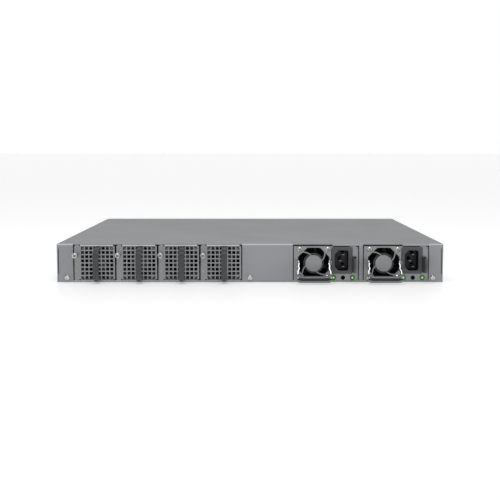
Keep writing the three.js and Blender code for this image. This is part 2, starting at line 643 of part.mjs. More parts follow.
const SUPPLY = { width: 73.5, height: 39.6 };
const SUPPLY_TOP = MODULE_BOTTOM + SUPPLY.height;
const SUPPLY_FAN = { x: 22.6, z: MODULE_BOTTOM + SUPPLY.height / 2, size: 38, start: 1 };
const GUARD = { half: 20, sheet: 0.8, flat: 18.2, chamfer: 12, hub: 9.6, spoke: 1.3 };
const SPOKE_LINE = [[8.4, 2.6], [12.6, 6.2], [13.2, 15]];
const EAR = { x: 19.6, half: 0.5, radius: 2.4, pinX: 18.6, pinHalf: 1.5 };
const INLET = {
  x: 54.55, z: 25.15, bezel: [23.5, 30.5], proud: 0.8, body: [19.4, 27.2], depth: 22, socketDepth: 16,
};
const MOUTH = { wide: 7.85, tall: 11.7, chamfer: 4.6, corner: 1.2 };
const PINS = [{ x: 2.25, z: 7, tip: 4 }, { x: 2.25, z: -7, tip: 4 }, { x: -1.95, z: 0, tip: 3 }];
const PIN_HALF = { wide: 2, thick: 1 };
const LAMP = { spots: [45.5, 67.2], z: 5, radius: 2.4, depth: 6 };
const PLAIN_HOLE = { x: (LAMP.spots[0] + LAMP.spots[1]) / 2, radius: 2.2 };
const LATCH = { stem: [68.6, 69.4], tab: [66.8, 69.4], z: [12.3, 29], root: [69, 25], reach: 19 };
const CATCH = { y: [5, 9.5], z: [16, 25], reach: 73.2 };
const PIVOT = { y: -4.3, z: 23, radius: 1.1 };

function supplyCase() {
  const shell = block([0, SUPPLY.width], [0, SUPPLY_LENGTH], [MODULE_BOTTOM, SUPPLY_TOP]);
  const fanHalf = SUPPLY_FAN.size / 2 + 0.2;
  const fanWell = block(around(SUPPLY_FAN.x, fanHalf), [-1, FAN_DEPTH + 6], around(SUPPLY_FAN.z, fanHalf));
  const inletWell = block(
    around(INLET.x, INLET.body[0] / 2 + RUNNING_GAP),
    [-1, INLET.depth + 1],
    around(INLET.z, INLET.body[1] / 2 + RUNNING_GAP),
  );
  const play = { side: 2.1, end: 0.6, root: 3, catchY: 1.5, catchZ: 0.8 };
  const latchWell = block(
    [LATCH.stem[0] - play.side, LATCH.stem[1] + play.side],
    [-1, LATCH.root[1] + play.root],
    [LATCH.z[0] - play.end, LATCH.z[1] + play.end],
  );
  const catchSlot = block(
    [LATCH.stem[1], SUPPLY.width + 1],
    [CATCH.y[0] - play.catchY, CATCH.y[1] + play.catchY],
    [CATCH.z[0] - play.catchZ, CATCH.z[1] + play.catchZ],
  );
  const drill = [-1, LAMP.depth];
  const lampHoles = LAMP.spots.map((x) => rodY(LAMP.radius + 0.2, x, LAMP.z, drill, 10));
  const plainHole = rodY(PLAIN_HOLE.radius, PLAIN_HOLE.x, LAMP.z, drill, 10);
  return cut(shell, fanWell, inletWell, latchWell, catchSlot, ...lampHoles, plainHole);
}

// One spoke of the guard: a band of even width that sweeps from the hub to the frame's corner.
function guardSpoke(turn) {
  const [start, bend, end] = SPOKE_LINE.map(([u, v]) => new THREE.Vector2(u, v));
  const curve = new THREE.QuadraticBezierCurve(start, bend, end);
  const middle = curve.getPoints(3);
  const side = (sign) => middle.map((point, index) => {
    const tangent = curve.getTangent(index / (middle.length - 1));
    return new THREE.Vector2(-tangent.y, tangent.x).multiplyScalar((sign * GUARD.spoke) / 2).add(point);
  });
  const band = new THREE.Shape([...side(1), ...side(-1).reverse()]);
  const sheet = new THREE.ExtrudeGeometry(band, { depth: GUARD.sheet, bevelEnabled: false });
  return solid(sheet.rotateX(Math.PI / 2).rotateY(turn));
}

// The guard is a sheet with an eight-sided window, the hub disc held in it by four swept spokes, and an
// ear on each side with the pin that the bail turns on.
function supplyGuard() {
  const { half, sheet, flat, chamfer, hub } = GUARD;
  const frame = roundedRectangle(around(0, half), around(0, half - 0.5), 1.5);
  const inner = flat - chamfer;
  frame.holes = [polygon([
    [-inner, -flat], [inner, -flat], [flat, -inner], [flat, inner],
    [inner, flat], [-inner, flat], [-flat, inner], [-flat, -inner],
  ])];
  const spokes = range(4).map((index) => guardSpoke((index * Math.PI) / 2));
  const flatPart = join(plateY(frame, [-sheet, 0], 2), rodY(hub, 0, 0, [-sheet, 0], 20), ...spokes);
  const rise = PIVOT.z - SUPPLY_FAN.z;
  const ears = [-1, 1].map((side) => {
    const sheetX = around(side * EAR.x, EAR.half);
    const tip = rodX(EAR.radius, PIVOT.y, rise, sheetX, 10);
    const stalk = block(sheetX, [PIVOT.y, -WELD], around(rise, EAR.radius));
    const pin = rodX(PIVOT.radius, PIVOT.y, rise, around(side * EAR.pinX, EAR.pinHalf), 8);
    return join(tip, stalk, pin);
  });
  return join(flatPart, ...ears);
}

// A power inlet with its three flat pins. Two corners of the socket are cut off, on the earth pin's side.
function supplyInlet() {
  const [bezelWidth, bezelHeight] = INLET.bezel;
  const bezel = roundedRectangle(around(0, bezelWidth / 2), around(0, bezelHeight / 2), 1);
  const body = block(around(0, INLET.body[0] / 2), [-WELD, INLET.depth], around(0, INLET.body[1] / 2));
  const { wide, tall, chamfer, corner } = MOUTH;
  const mouth = polygon([
    [-wide, -tall + chamfer], [-wide + chamfer, -tall], [wide - corner, -tall], [wide, -tall + corner],
    [wide, tall - corner], [wide - corner, tall], [-wide + chamfer, tall], [-wide, tall - chamfer],
  ]);
  const socket = plateY(mouth, [-2, INLET.socketDepth]);
  const pins = PINS.map(({ x, z, tip }) => {
    return block(around(x, PIN_HALF.wide), [tip, INLET.socketDepth + 1], around(z, PIN_HALF.thick));
  });
  return join(cut(join(plateY(bezel, [-INLET.proud, 0], 2), body), socket), ...pins);
}

// The bail: a crossbar plate held out in front by two flat arms, each with a round boss on its pivot pin
// and a jog outwards beyond it.
const BAIL = {
  near: [17, 18.3], far: [18.2, 19.5], bar: [-20, -18.2], barZ: [1.7, 8.3],
  armHalf: 2.3, boss: 3.1, jog: [7.6, 9], lowCorner: 3.3, topCorner: 1, lip: { reach: 4, sheet: 1.4 },
};

function bailArm(side) {
  const mirror = ([from, to]) => (side > 0 ? [from, to] : [-to, -from]);
  const barZ = (BAIL.barZ[0] + BAIL.barZ[1]) / 2;
  const pivot = new THREE.Vector2(PIVOT.y, PIVOT.z);
  const reach = new THREE.Vector2(BAIL.bar[1] + 0.4, barZ).sub(pivot);
  const along = reach.clone().normalize();
  const across = new THREE.Vector2(-along.y, along.x).multiplyScalar(BAIL.armHalf);
  const stretch = (from, to) => {
    const [start, end] = [from, to].map((distance) => pivot.clone().addScaledVector(along, distance));
    const near = [start.clone().add(across), start.clone().sub(across)];
    const far = [end.clone().sub(across), end.clone().add(across)];
    return new THREE.Shape([...near, ...far]);
  };
  const [jogStart, jogEnd] = BAIL.jog;
  const boss = rodX(BAIL.boss, PIVOT.y, PIVOT.z, mirror(BAIL.near), 12);
  const upper = plateX(stretch(0, jogEnd), mirror(BAIL.near));
  const jog = plateX(stretch(jogStart, jogEnd), mirror([BAIL.near[0], BAIL.far[1]]));
  const lower = plateX(stretch(jogStart, reach.length()), mirror(BAIL.far));
  const hole = rodX(PIVOT.radius + 0.2, PIVOT.y, PIVOT.z, mirror([BAIL.near[0] - 1, BAIL.far[1] + 1]), 8);
  return cut(join(boss, upper, jog, lower), hole);
}

function supplyBail() {
  const { lowCorner, topCorner, lip } = BAIL;
  const [z0, z1] = BAIL.barZ;
  const half = BAIL.far[1];
  const bar = new THREE.Shape();
  bar.absarc(half - lowCorner, z0 + lowCorner, lowCorner, -Math.PI / 2, 0);
  bar.absarc(half - topCorner, z1 - topCorner, topCorner, 0, Math.PI / 2);
  bar.absarc(-half + topCorner, z1 - topCorner, topCorner, Math.PI / 2, Math.PI);
  bar.absarc(-half + lowCorner, z0 + lowCorner, lowCorner, Math.PI, 1.5 * Math.PI);
  bar.closePath();
  const front = plateY(bar, BAIL.bar, 3);
  const lipY = [BAIL.bar[0], BAIL.bar[1] + lip.reach];
  const lower = block(around(0, half - lowCorner), lipY, [z0, z0 + lip.sheet]);
  return join(front, lower, bailArm(-1), bailArm(1));
}

// The latch: a thumb tab on a long flat stem that bends at its root, with the catch on the stem's outer
// side.
function supplyLatch() {
  const [stemLeft, stemRight] = LATCH.stem;
  const [rootX, rootY] = LATCH.root;
  const tab = { back: -2.2, sideRound: 1.2, noseRound: 5 };
  const stemFront = -3;
  const rootRadius = 1.3;
  const plan = roundedRectangle(LATCH.tab, [-LATCH.reach, tab.back], tab.sideRound);
  const nose = -LATCH.reach + tab.noseRound;
  const profile = new THREE.Shape();
  profile.moveTo(0, LATCH.z[0]);
  profile.lineTo(0, LATCH.z[1]);
  profile.absarc(nose, LATCH.z[1] - tab.noseRound, tab.noseRound, Math.PI / 2, Math.PI);
  profile.absarc(nose, LATCH.z[0] + tab.noseRound, tab.noseRound, Math.PI, 1.5 * Math.PI);
  profile.closePath();
  const thumb = plateZ(plan, LATCH.z, 2).intersect(plateX(profile, [stemLeft - 5, stemRight + 5], 4));
  const stem = block([stemLeft, stemRight], [stemFront, rootY], LATCH.z);
  const root = rodZ(rootRadius, rootX, rootY, LATCH.z, 10);
  const [catchFront, catchBack] = CATCH.y;
  const inside = stemRight - WELD;
  const wedge = polygon([
    [inside, catchFront], [inside, catchBack], [CATCH.reach, catchBack], [CATCH.reach, catchBack - 1],
  ]);
  return join(thumb, stem, root, plateZ(wedge, CATCH.z));
}

function supplyLamp() {
  const { radius } = LAMP;
  const dome = { radius: 1.7, crown: -1.4, collar: -0.4 };
  return turned([
    [0, dome.crown], [1.3, -1.2], [dome.radius, -0.7], [dome.radius, dome.collar],
    [radius, dome.collar], [radius, LAMP.depth - 0.5], [0, LAMP.depth - 0.5],
  ], 10);
}

function supplyTongue() {
  const length = [SUPPLY_LENGTH, SUPPLY_LENGTH + TONGUE.length];
  return block([TONGUE.left, TONGUE.right], length, TONGUE.z);
}

function powerSupply(index) {
  const number = index + 1;
  const group = new THREE.Group();
  const { x, z, size, start } = SUPPLY_FAN;
  group.add(
    piece(`psu_case_${number}`, "zincSheet", supplyCase()),
    at(piece(`psu_guard_${number}`, "zincSheet", supplyGuard()), x, 0, z),
    at(piece(`psu_fan_frame_${number}`, "blackPlastic", fanFrame(size)), x, start, z),
    at(piece(`psu_fan_rotor_${number}`, "blackPlastic", fanRotor()), x, start, z),
    at(piece(`psu_inlet_${number}`, "blackPlastic", supplyInlet()), INLET.x, 0, INLET.z),
    at(piece(`psu_handle_${number}`, "nickel", supplyBail()), x, 0, 0),
    piece(`psu_latch_${number}`, "darkPlastic", supplyLatch()),
    at(piece(`psu_lamp_left_${number}`, "greenLamp", supplyLamp()), LAMP.spots[0], 0, LAMP.z),
    at(piece(`psu_lamp_right_${number}`, "greenLamp", supplyLamp()), LAMP.spots[1], 0, LAMP.z),
    piece(`psu_card_edge_${number}`, "board", supplyTongue()),
  );
  group.position.set(FIRST_SUPPLY_X + index * SUPPLY_PITCH, REAR_Y, 0);
  return group;
}

// ---- The whole switch ---------------------------------------------------------------------------

const networkSwitch = new THREE.Group();

networkSwitch.add(
  piece("chassis_tray", "paint", chassisTray()),
  piece("top_cover", "paint", topCover()),
  piece("rear_panel", "paint", rearPanel()),
  piece("front_panel", "paint", frontPanel()),
  piece("main_board", "board", mainBoard()),
  piece("switch_heat_sink", "aluminium", switchHeatSink()),
  piece("fan_board", "board", fanBoard()),
  piece("fan_bay_guide", "zincSheet", fanBayGuide()),
  piece("psu_bay_cage", "zincSheet", supplyBayCage()),
  piece("sfp_cage_left", "zincSheet", socketCage(SMALL_SOCKET, CAGE_LEFT.sfpLeft)),
  piece("sfp_cage_right", "zincSheet", socketCage(SMALL_SOCKET, CAGE_LEFT.sfpRight)),
  piece("qsfp_cage", "zincSheet", socketCage(WIDE_SOCKET, CAGE_LEFT.qsfp)),
  piece("management_jack", "blackPlastic", managementJack()),
);

for (const [side, x] of Object.entries(REAR_SCREWS)) {
  networkSwitch.add(at(piece(`rear_screw_${side}`, "nickel", rearScrew()), x, REAR_Y, REAR_SCREW_Z));
}

range(FAN_COUNT).forEach((index) => networkSwitch.add(fanModule(index)));
range(SUPPLY_COUNT).forEach((index) => networkSwitch.add(powerSupply(index)));

export default networkSwitch;
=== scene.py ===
"""Looks of a one-unit rackmount network switch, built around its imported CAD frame.

The air-outlet side faces -Y. Every length in this file is in metres, and MM turns millimetres into metres.
"""

from __future__ import annotations

import logging
import math
from dataclasses import dataclass, field
from enum import Enum
from typing import Callable, Iterable, Sequence

import bmesh
import bpy
import numpy as np
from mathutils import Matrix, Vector


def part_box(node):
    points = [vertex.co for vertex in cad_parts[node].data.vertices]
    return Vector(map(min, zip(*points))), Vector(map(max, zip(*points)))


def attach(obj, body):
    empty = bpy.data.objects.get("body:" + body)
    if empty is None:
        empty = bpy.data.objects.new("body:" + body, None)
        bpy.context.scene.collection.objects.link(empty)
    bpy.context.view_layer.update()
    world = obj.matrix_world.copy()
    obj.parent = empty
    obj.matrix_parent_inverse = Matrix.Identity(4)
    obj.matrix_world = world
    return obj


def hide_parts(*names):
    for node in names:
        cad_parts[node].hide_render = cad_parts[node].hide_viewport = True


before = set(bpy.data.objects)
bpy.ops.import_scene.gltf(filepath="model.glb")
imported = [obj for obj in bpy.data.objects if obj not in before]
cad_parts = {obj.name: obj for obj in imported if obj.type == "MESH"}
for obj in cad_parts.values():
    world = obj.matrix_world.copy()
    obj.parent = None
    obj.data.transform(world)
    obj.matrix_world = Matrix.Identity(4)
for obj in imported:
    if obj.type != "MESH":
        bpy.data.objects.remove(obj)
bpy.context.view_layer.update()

MM = 0.001
log = logging.getLogger("network_switch")

Array = np.ndarray
Mesh = bpy.types.Mesh
Object = bpy.types.Object
Material = bpy.types.Material


# ---- Colour and node helpers ---------------------------------------------------------------------


def linear(hex_colour: str) -> tuple[float, float, float, float]:
    """Turns an sRGB colour into the linear one that shaders use.

    Args:
        hex_colour: the colour as "#rrggbb".

    Returns:
        Linear red, green, blue and an alpha of one.
    """
    parts = np.array([int(hex_colour[i:i + 2], 16) / 255 for i in (1, 3, 5)])
    low = parts / 12.92
    high = ((parts + 0.055) / 1.055) ** 2.4
    red, green, blue = np.where(parts <= 0.04045, low, high)
    return (float(red), float(green), float(blue), 1.0)


class Recipe:
    """A node material being written: it adds nodes with their settings and links."""

    def __init__(self, name: str) -> None:
        """Makes an empty material with an output and one main shader."""
        self.material = bpy.data.materials.new(name)
        self.material.use_nodes = True
        self.tree = self.material.node_tree
        self.tree.nodes.clear()
        self.output = self.tree.nodes.new("ShaderNodeOutputMaterial")
        self.shader = self.tree.nodes.new("ShaderNodeBsdfPrincipled")
        self.tree.links.new(self.shader.outputs[0], self.output.inputs["Surface"])

    def node(self, kind: str, inputs: dict | None = None, **settings: object) -> bpy.types.Node:
        """Adds one node.

        Args:
            kind: the node's type after the words ShaderNode.
            inputs: values or output sockets for its inputs, by name or number.
            settings: attributes of the node itself.

        Returns:
            The node.
        """
        made = self.tree.nodes.new("ShaderNode" + kind)
        for name, value in settings.items():
            setattr(made, name, value)
        for key, value in (inputs or {}).items():
            self.feed(made.inputs[key], value)
        return made

    def feed(self, socket: bpy.types.NodeSocket, value: object) -> None:
        """Sets a socket to a value, or links an output socket to it."""
        if isinstance(value, bpy.types.NodeSocket):
            self.tree.links.new(value, socket)
        else:
            socket.default_value = value

    def shade(self, **values: object) -> None:
        """Sets or links the main shader's sockets; an underscore in a name stands for a space."""
        for name, value in values.items():
            self.feed(self.shader.inputs[name.replace("_", " ")], value)

    def place(self, scale: Sequence[float] = (1, 1, 1)) -> bpy.types.NodeSocket:
        """Object coordinates in metres, stretched by a scale."""
        coordinates = self.node("TexCoord").outputs["Object"]
        return self.node("Mapping", {"Vector": coordinates, "Scale": scale}).outputs[0]

    def noise(self, size: float, detail: float = 2.0, stretch: Sequence[float] = (1, 1, 1)) -> bpy.types.NodeSocket:
        """A noise whose blotches are about `size` metres across, from 0 to 1."""
        made = self.node("TexNoise", {"Vector": self.place(stretch), "Scale": 1 / size, "Detail": detail})
        return made.outputs["Fac"]

    def between(self, value: bpy.types.NodeSocket, low: float, high: float) -> bpy.types.NodeSocket:
        """Spreads a 0.3 to 0.7 pattern over low to high, and keeps it there."""
        spread = {"Value": value, "From Min": 0.3, "From Max": 0.7, "To Min": low, "To Max": high}
        return self.node("MapRange", spread).outputs[0]

    def tint(self, value: bpy.types.NodeSocket, dark: str, light: str) -> bpy.types.NodeSocket:
        """Mixes two sRGB colours by a 0.3 to 0.7 pattern."""
        share = self.between(value, 0.0, 1.0)
        mix = self.node("Mix", data_type="RGBA")
        self.feed(mix.inputs["Factor"], share)
        self.feed(mix.inputs[6], linear(dark))
        self.feed(mix.inputs[7], linear(light))
        return mix.outputs[2]

    def bump(self, height: bpy.types.NodeSocket, depth: float, strength: float = 1.0) -> bpy.types.NodeSocket:
        """Turns a height pattern into a normal; `depth` is the relief in metres."""
        settings = {"Height": height, "Distance": depth, "Strength": strength}
        return self.node("Bump", settings).outputs[0]


# ---- Finishes ------------------------------------------------------------------------------------


@dataclass(frozen=True)
class PaintedSteel:
    """Sheet steel with a grey baked paint: fine orange peel, which softens every reflection a little.

    Along a bend between the face and the top, a near-white colour is mixed in: a painted highlight for the bright line
    where the bend catches the light from overhead.
    """

    name: str = "grey_baked_paint"
    dark: str = "#929497"
    light: str = "#989a9d"
    # Near-white colour of the painted highlight along the bend.
    bend_highlight: str = "#eef0f1"
    peel: float = 0.9 * MM
    cloud: float = 60 * MM

    def build(self) -> Material:
        """Returns the paint as a node material."""
        recipe = Recipe(self.name)
        cloud = recipe.noise(self.cloud, 3)
        peel = recipe.noise(self.peel, 2)
        # Mask of faces that lean up and towards -Y, as on a bend; there the painted highlight colour is mixed in.
        facing = recipe.node("SeparateXYZ", {0: recipe.node("TexCoord").outputs["Normal"]})
        lean = recipe.node("Math", {0: facing.outputs["Y"], 1: facing.outputs["Z"]}, operation="MULTIPLY").outputs[0]
        bend = {"Value": lean, "From Min": -0.12, "From Max": -0.3, "To Min": 0.0, "To Max": 1.0}
        mix = recipe.node("Mix", data_type="RGBA")
        recipe.feed(mix.inputs["Factor"], recipe.node("MapRange", bend).outputs[0])
        recipe.feed(mix.inputs[6], recipe.tint(cloud, self.dark, self.light))
        recipe.feed(mix.inputs[7], linear(self.bend_highlight))
        recipe.shade(
            Base_Color=mix.outputs[2],
            Roughness=recipe.between(peel, 0.5, 0.6),
            Specular_IOR_Level=0.25,
            Normal=recipe.bump(peel, 0.012 * MM),
        )
        return recipe.material


@dataclass(frozen=True)
class ZincSheet:
    """Galvanised sheet: faint spangle a few millimetres across under a light rolling grain."""

    name: str = "spangled_zinc"
    dark: str = "#8a8c8e"
    light: str = "#989a9c"
    spangle: float = 7 * MM
    grain: float = 0.5 * MM
    metallic: float = 0.3

    def build(self) -> Material:
        """Returns the sheet as a node material."""
        recipe = Recipe(self.name)
        cells = recipe.node("TexVoronoi", {"Vector": recipe.place(), "Scale": 1 / self.spangle})
        shade = recipe.node("SeparateColor", {"Color": cells.outputs["Color"]}).outputs[0]
        even = {"Value": shade, "To Min": 0.4, "To Max": 0.6}
        spangle = recipe.node("MapRange", even).outputs[0]
        grain = recipe.noise(self.grain, 2, (1, 1, 0.06))
        recipe.shade(
            Base_Color=recipe.tint(spangle, self.dark, self.light),
            Metallic=self.metallic,
            Roughness=recipe.between(grain, 0.4, 0.52),
            Normal=recipe.bump(grain, 0.008 * MM),
        )
        return recipe.material


@dataclass(frozen=True)
class PlatedSteel:
    """Nickel-plated steel, turned or pressed: bright, with tool marks that run round or along it."""

    name: str = "nickel_plating"
    dark: str = "#b9b7b1"
    light: str = "#d6d5d1"
    mark: float = 0.35 * MM
    smooth: float = 0.2
    rough: float = 0.34

    def build(self) -> Material:
        """Returns the plating as a node material."""
        recipe = Recipe(self.name)
        marks = recipe.noise(self.mark, 2, (0.3, 1.6, 0.3))
        recipe.shade(
            Base_Color=recipe.tint(recipe.noise(3 * MM, 2), self.dark, self.light),
            Metallic=1.0,
            Roughness=recipe.between(marks, self.smooth, self.rough),
            Normal=recipe.bump(marks, 0.006 * MM),
        )
        return recipe.material


@dataclass(frozen=True)
class MouldedPlastic:
    """Injection-moulded plastic: an even colour with a spark-eroded grain and faint flow clouds."""

    name: str
    dark: str
    light: str
    grain: float = 0.35 * MM
    relief: float = 0.03 * MM
    rough: float = 0.5
    shine: float = 0.5

    def build(self) -> Material:
        """Returns the plastic as a node material."""
        recipe = Recipe(self.name)
        grain = recipe.noise(self.grain, 1)
        recipe.shade(
            Base_Color=recipe.tint(recipe.noise(14 * MM, 2), self.dark, self.light),
            Roughness=recipe.between(grain, self.rough - 0.06, self.rough + 0.08),
            Specular_IOR_Level=self.shine,
            Normal=recipe.bump(grain, self.relief),
        )
        return recipe.material


@dataclass(frozen=True)
class LampPlastic:
    """Clear light-pipe plastic with the lamp's light in it: an even glow over faint clouds of colour."""

    name: str
    colour: str
    glow: str
    strength: float

    def build(self) -> Material:
        """Returns the lit plastic as a node material."""
        recipe = Recipe(self.name)
        cloud = recipe.noise(1.2 * MM, 1)
        recipe.shade(
            Base_Color=recipe.tint(cloud, self.colour, self.glow),
            Roughness=0.25,
            Emission_Color=linear(self.glow),
            Emission_Strength=self.strength,
        )
        return recipe.material


@dataclass(frozen=True)
class BoardLaminate:
    """Glass-epoxy board under solder mask: glossy green with the weave and the copper showing through."""

    name: str = "glass_epoxy"

    def build(self) -> Material:
        """Returns the laminate as a node material."""
        recipe = Recipe(self.name)
        tracks = recipe.node("TexBrick", {"Vector": recipe.place(), "Scale": 1 / (6 * MM), "Mortar Size": 0.03})
        mix = recipe.node("Mix", data_type="RGBA")
        recipe.feed(mix.inputs["Factor"], tracks.outputs["Fac"])
        recipe.feed(mix.inputs[6], recipe.tint(recipe.noise(9 * MM, 3), "#123b28", "#1a4d36"))
        recipe.feed(mix.inputs[7], linear("#2f6b4a"))
        weave = recipe.noise(0.6 * MM, 1)
        recipe.shade(
            Base_Color=mix.outputs[2],
            Roughness=recipe.between(weave, 0.25, 0.4),
            Normal=recipe.bump(weave, 0.01 * MM),
        )
        return recipe.material


@dataclass(frozen=True)
class BareAluminium:
    """Extruded aluminium, as machined: drawn lines along the fins."""

    name: str = "drawn_aluminium"

    def build(self) -> Material:
        """Returns the metal as a node material."""
        recipe = Recipe(self.name)
        lines = recipe.noise(0.4 * MM, 2, (1, 0.05, 1))
        recipe.shade(
            Base_Color=recipe.tint(lines, "#a2a4a6", "#b9bbbd"),
            Metallic=1.0,
            Roughness=recipe.between(lines, 0.3, 0.45),
            Normal=recipe.bump(lines, 0.008 * MM),
        )
        return recipe.material


@dataclass(frozen=True)
class PaleFloor:
    """A white glossy sweep that fades to pure white and mirrors a little of what stands on it."""

    name: str = "studio_floor"

    def build(self) -> Material:
        """Returns the sweep as a node material."""
        recipe = Recipe(self.name)
        recipe.shade(
            Base_Color=linear("#fafafa"),
            Roughness=0.35,
            Specular_IOR_Level=0.1,
            Emission_Color=linear("#ffffff"),
            Emission_Strength=0.31,
        )
        return recipe.material


MADE: dict[str, Material] = {}


class Finish(Enum):
    """The finishes of the switch, each made once and then shared."""

    PAINT = PaintedSteel()
    ZINC = ZincSheet()
    CAGE = ZincSheet("tinned_cage", "#9d9a92", "#b5b2aa", 20 * MM, 0.4 * MM, 1.0)
    NICKEL = PlatedSteel("nickel_plating", "#c4c2bd", "#d4d3cf", smooth=0.16, rough=0.26)
    BAIL = PlatedSteel("polished_steel", "#b2b4b6", "#c4c6c8", 0.5 * MM, 0.16, 0.26)
    STRIP = PlatedSteel("brushed_steel", "#797b7d", "#868889", 0.5 * MM, 0.36, 0.48)
    HANDLE = MouldedPlastic("grained_grey_plastic", "#363738", "#3d3e3f", rough=0.4)
    BEZEL = MouldedPlastic("smooth_grey_plastic", "#48494b", "#4e4f51", rough=0.5)
    BLACK = MouldedPlastic("moulded_black", "#111213", "#171819", rough=0.45)
    WHEEL = MouldedPlastic("fan_wheel_plastic", "#2b2c2e", "#333436", rough=0.35)
    # Near-black, barely reflecting finish for pieces that stand for the shade in gaps and holes: painted shade.
    PAINTED_SHADE = MouldedPlastic("painted_shade_black", "#020202", "#050505", 0.8 * MM, 0.1 * MM, 0.9, 0.04)
    FAN_GREEN = LampPlastic("fan_lamp_green", "#4f9a48", "#76be6e", 0.25)
    PSU_GREEN = LampPlastic("supply_lamp_green", "#5fc24c", "#86e56a", 0.42)
    LAMP_RING = MouldedPlastic("lamp_ring_green", "#12400a", "#1a5210", rough=0.45)
    BOARD = BoardLaminate()
    ALUMINIUM = BareAluminium()
    FLOOR = PaleFloor()

    def material(self) -> Material:
        """Returns this finish's material, and builds it on first use."""
        if self.name not in MADE:
            MADE[self.name] = self.value.build()
        return MADE[self.name]


# ---- Mesh helpers --------------------------------------------------------------------------------


def new_mesh(name: str, points: Array, faces: Sequence[Sequence[int]], smooth: bool = True) -> Mesh:
    """Puts arrays into a mesh.

    Args:
        name: the mesh's name.
        points: an n by 3 array of places in metres.
        faces: corner numbers of each face.
        smooth: whether faces are shaded smooth, with edges over 35 degrees kept sharp.

    Returns:
        The mesh.
    """
    mesh = bpy.data.meshes.new(name)
    mesh.from_pydata(points.tolist(), [], [list(map(int, face)) for face in faces])
    mesh.validate()
    if smooth:
        mesh.shade_smooth()
        mesh.set_sharp_from_angle(angle=math.radians(35))
    return mesh


def grid_faces(rows: int, columns: int, wrap_rows: bool = False, wrap_columns: bool = True) -> Array:
    """Quads of a grid of points that is stored row by row.

    Args:
        rows: the number of rows.
        columns: the number of points in a row.
        wrap_rows: whether the last row joins the first.
        wrap_columns: whether the last column joins the first.

    Returns:
        An array with four corner numbers in a line.
    """
    row = np.arange(rows if wrap_rows else rows - 1)
    column = np.arange(columns if wrap_columns else columns - 1)
    r, c = np.meshgrid(row, column, indexing="ij")
    r2 = (r + 1) % rows
    c2 = (c + 1) % columns
    quads = np.stack([r * columns + c, r * columns + c2, r2 * columns + c2, r2 * columns + c], axis=-1)
    return quads.reshape(-1, 4)


def revolve(profile: Sequence[tuple[float, float]], centre: Sequence[float], sides: int = 48,
            ripple: Callable[[Array, Array], Array] | None = None) -> tuple[Array, list]:
    """A surface of revolution about an axis along Y, closed by a point at each end.

    A profile point (r, y) goes to (cx + r cos t, cy + y, cz + r sin t). The first and last points have r = 0.

    Args:
        profile: (radius, y) pairs in millimetres, from the outer end inwards.
        centre: the axis's point, in metres.
        sides: the steps round the axis.
        ripple: a function of (angle, y in millimetres) that scales the radius.

    Returns:
        Points and faces.
    """
    radius, height = np.array(profile, float).T
    angle = np.linspace(0, 2 * np.pi, sides, endpoint=False)
    r = radius[1:-1, None] * np.ones(sides)
    y = height[1:-1, None] * np.ones(sides)
    if ripple is not None:
        r = r * ripple(angle[None, :] * np.ones_like(r), y)
    ring = np.stack([r * np.cos(angle), y, r * np.sin(angle)], axis=-1).reshape(-1, 3)
    ends = np.array([[0, height[0], 0], [0, height[-1], 0]])
    points = np.concatenate([ring, ends]) * MM + np.array(centre)
    rows = len(radius) - 2
    first, last = rows * sides, rows * sides + 1
    around = np.arange(sides)
    following = (around + 1) % sides
    cap = np.stack([np.full(sides, first), following, around], axis=-1)
    base = (rows - 1) * sides
    foot = np.stack([np.full(sides, last), base + around, base + following], axis=-1)
    faces = [*grid_faces(rows, sides).tolist(), *cap.tolist(), *foot.tolist()]
    return outward(points, faces)


def outward(points: Array, faces: Sequence[Sequence[int]]) -> tuple[Array, list]:
    """Turns a closed surface's faces so that its enclosed volume is positive."""
    volume = 0.0
    for face in faces:
        a = points[face[0]]
        for i in range(1, len(face) - 1):
            volume += float(np.dot(a, np.cross(points[face[i]], points[face[i + 1]])))
    if volume < 0:
        return points, [list(reversed(list(face))) for face in faces]
    return points, [list(face) for face in faces]


def sweep(section: Array, path: Array, ups: Array, closed: bool = False) -> tuple[Array, list]:
    """Carries a closed section along a path.

    A section point (a, b) goes to path + a * side + b * up, where up is given and side is the path's direction
    crossed with up. Ends are closed by flat faces unless the path is closed.

    Args:
        section: k by 2 offsets, or n by k by 2 for a section that changes, in metres.
        path: n by 3 places in metres.
        ups: n by 3 unit vectors, or one.
        closed: whether the path is a loop.

    Returns:
        Points and faces.
    """
    step = np.gradient(path, axis=0)
    if closed:
        step = np.roll(path, -1, axis=0) - np.roll(path, 1, axis=0)
    step /= np.linalg.norm(step, axis=1, keepdims=True)
    up = np.broadcast_to(np.array(ups, float), path.shape)
    side = np.cross(step, up)
    side /= np.linalg.norm(side, axis=1, keepdims=True)
    up = np.cross(side, step)
    shape = np.broadcast_to(section, (len(path), section.shape[-2], 2))
    points = path[:, None, :] + shape[..., :1] * side[:, None, :] + shape[..., 1:] * up[:, None, :]
    count = shape.shape[1]
    faces = grid_faces(len(path), count, wrap_rows=closed).tolist()
    if not closed:
        last = (len(path) - 1) * count
        faces.append(list(range(count)))
        faces.append(list(range(last + count - 1, last - 1, -1)))
    return outward(points.reshape(-1, 3), faces)


def soft_rectangle(width: float, height: float, radius: float, steps: int = 5) -> Array:
    """The outline of a rectangle with round corners, centred on (0, 0), in the units given."""
    quarter = np.linspace(0, np.pi / 2, steps)
    corners = []
    for turn, (u, v) in enumerate([(1, 1), (-1, 1), (-1, -1), (1, -1)]):
        angle = quarter + turn * np.pi / 2
        centre = np.array([u * (width / 2 - radius), v * (height / 2 - radius)])
        corners.append(centre + radius * np.stack([np.cos(angle), np.sin(angle)], axis=-1))
    return np.concatenate(corners)


def circle(u: float, v: float, radius: float, steps: int = 24) -> Array:
    """The outline of a circle about (u, v)."""
    angle = np.linspace(0, 2 * np.pi, steps, endpoint=False)
    return np.stack([u + radius * np.cos(angle), v + radius * np.sin(angle)], axis=-1)


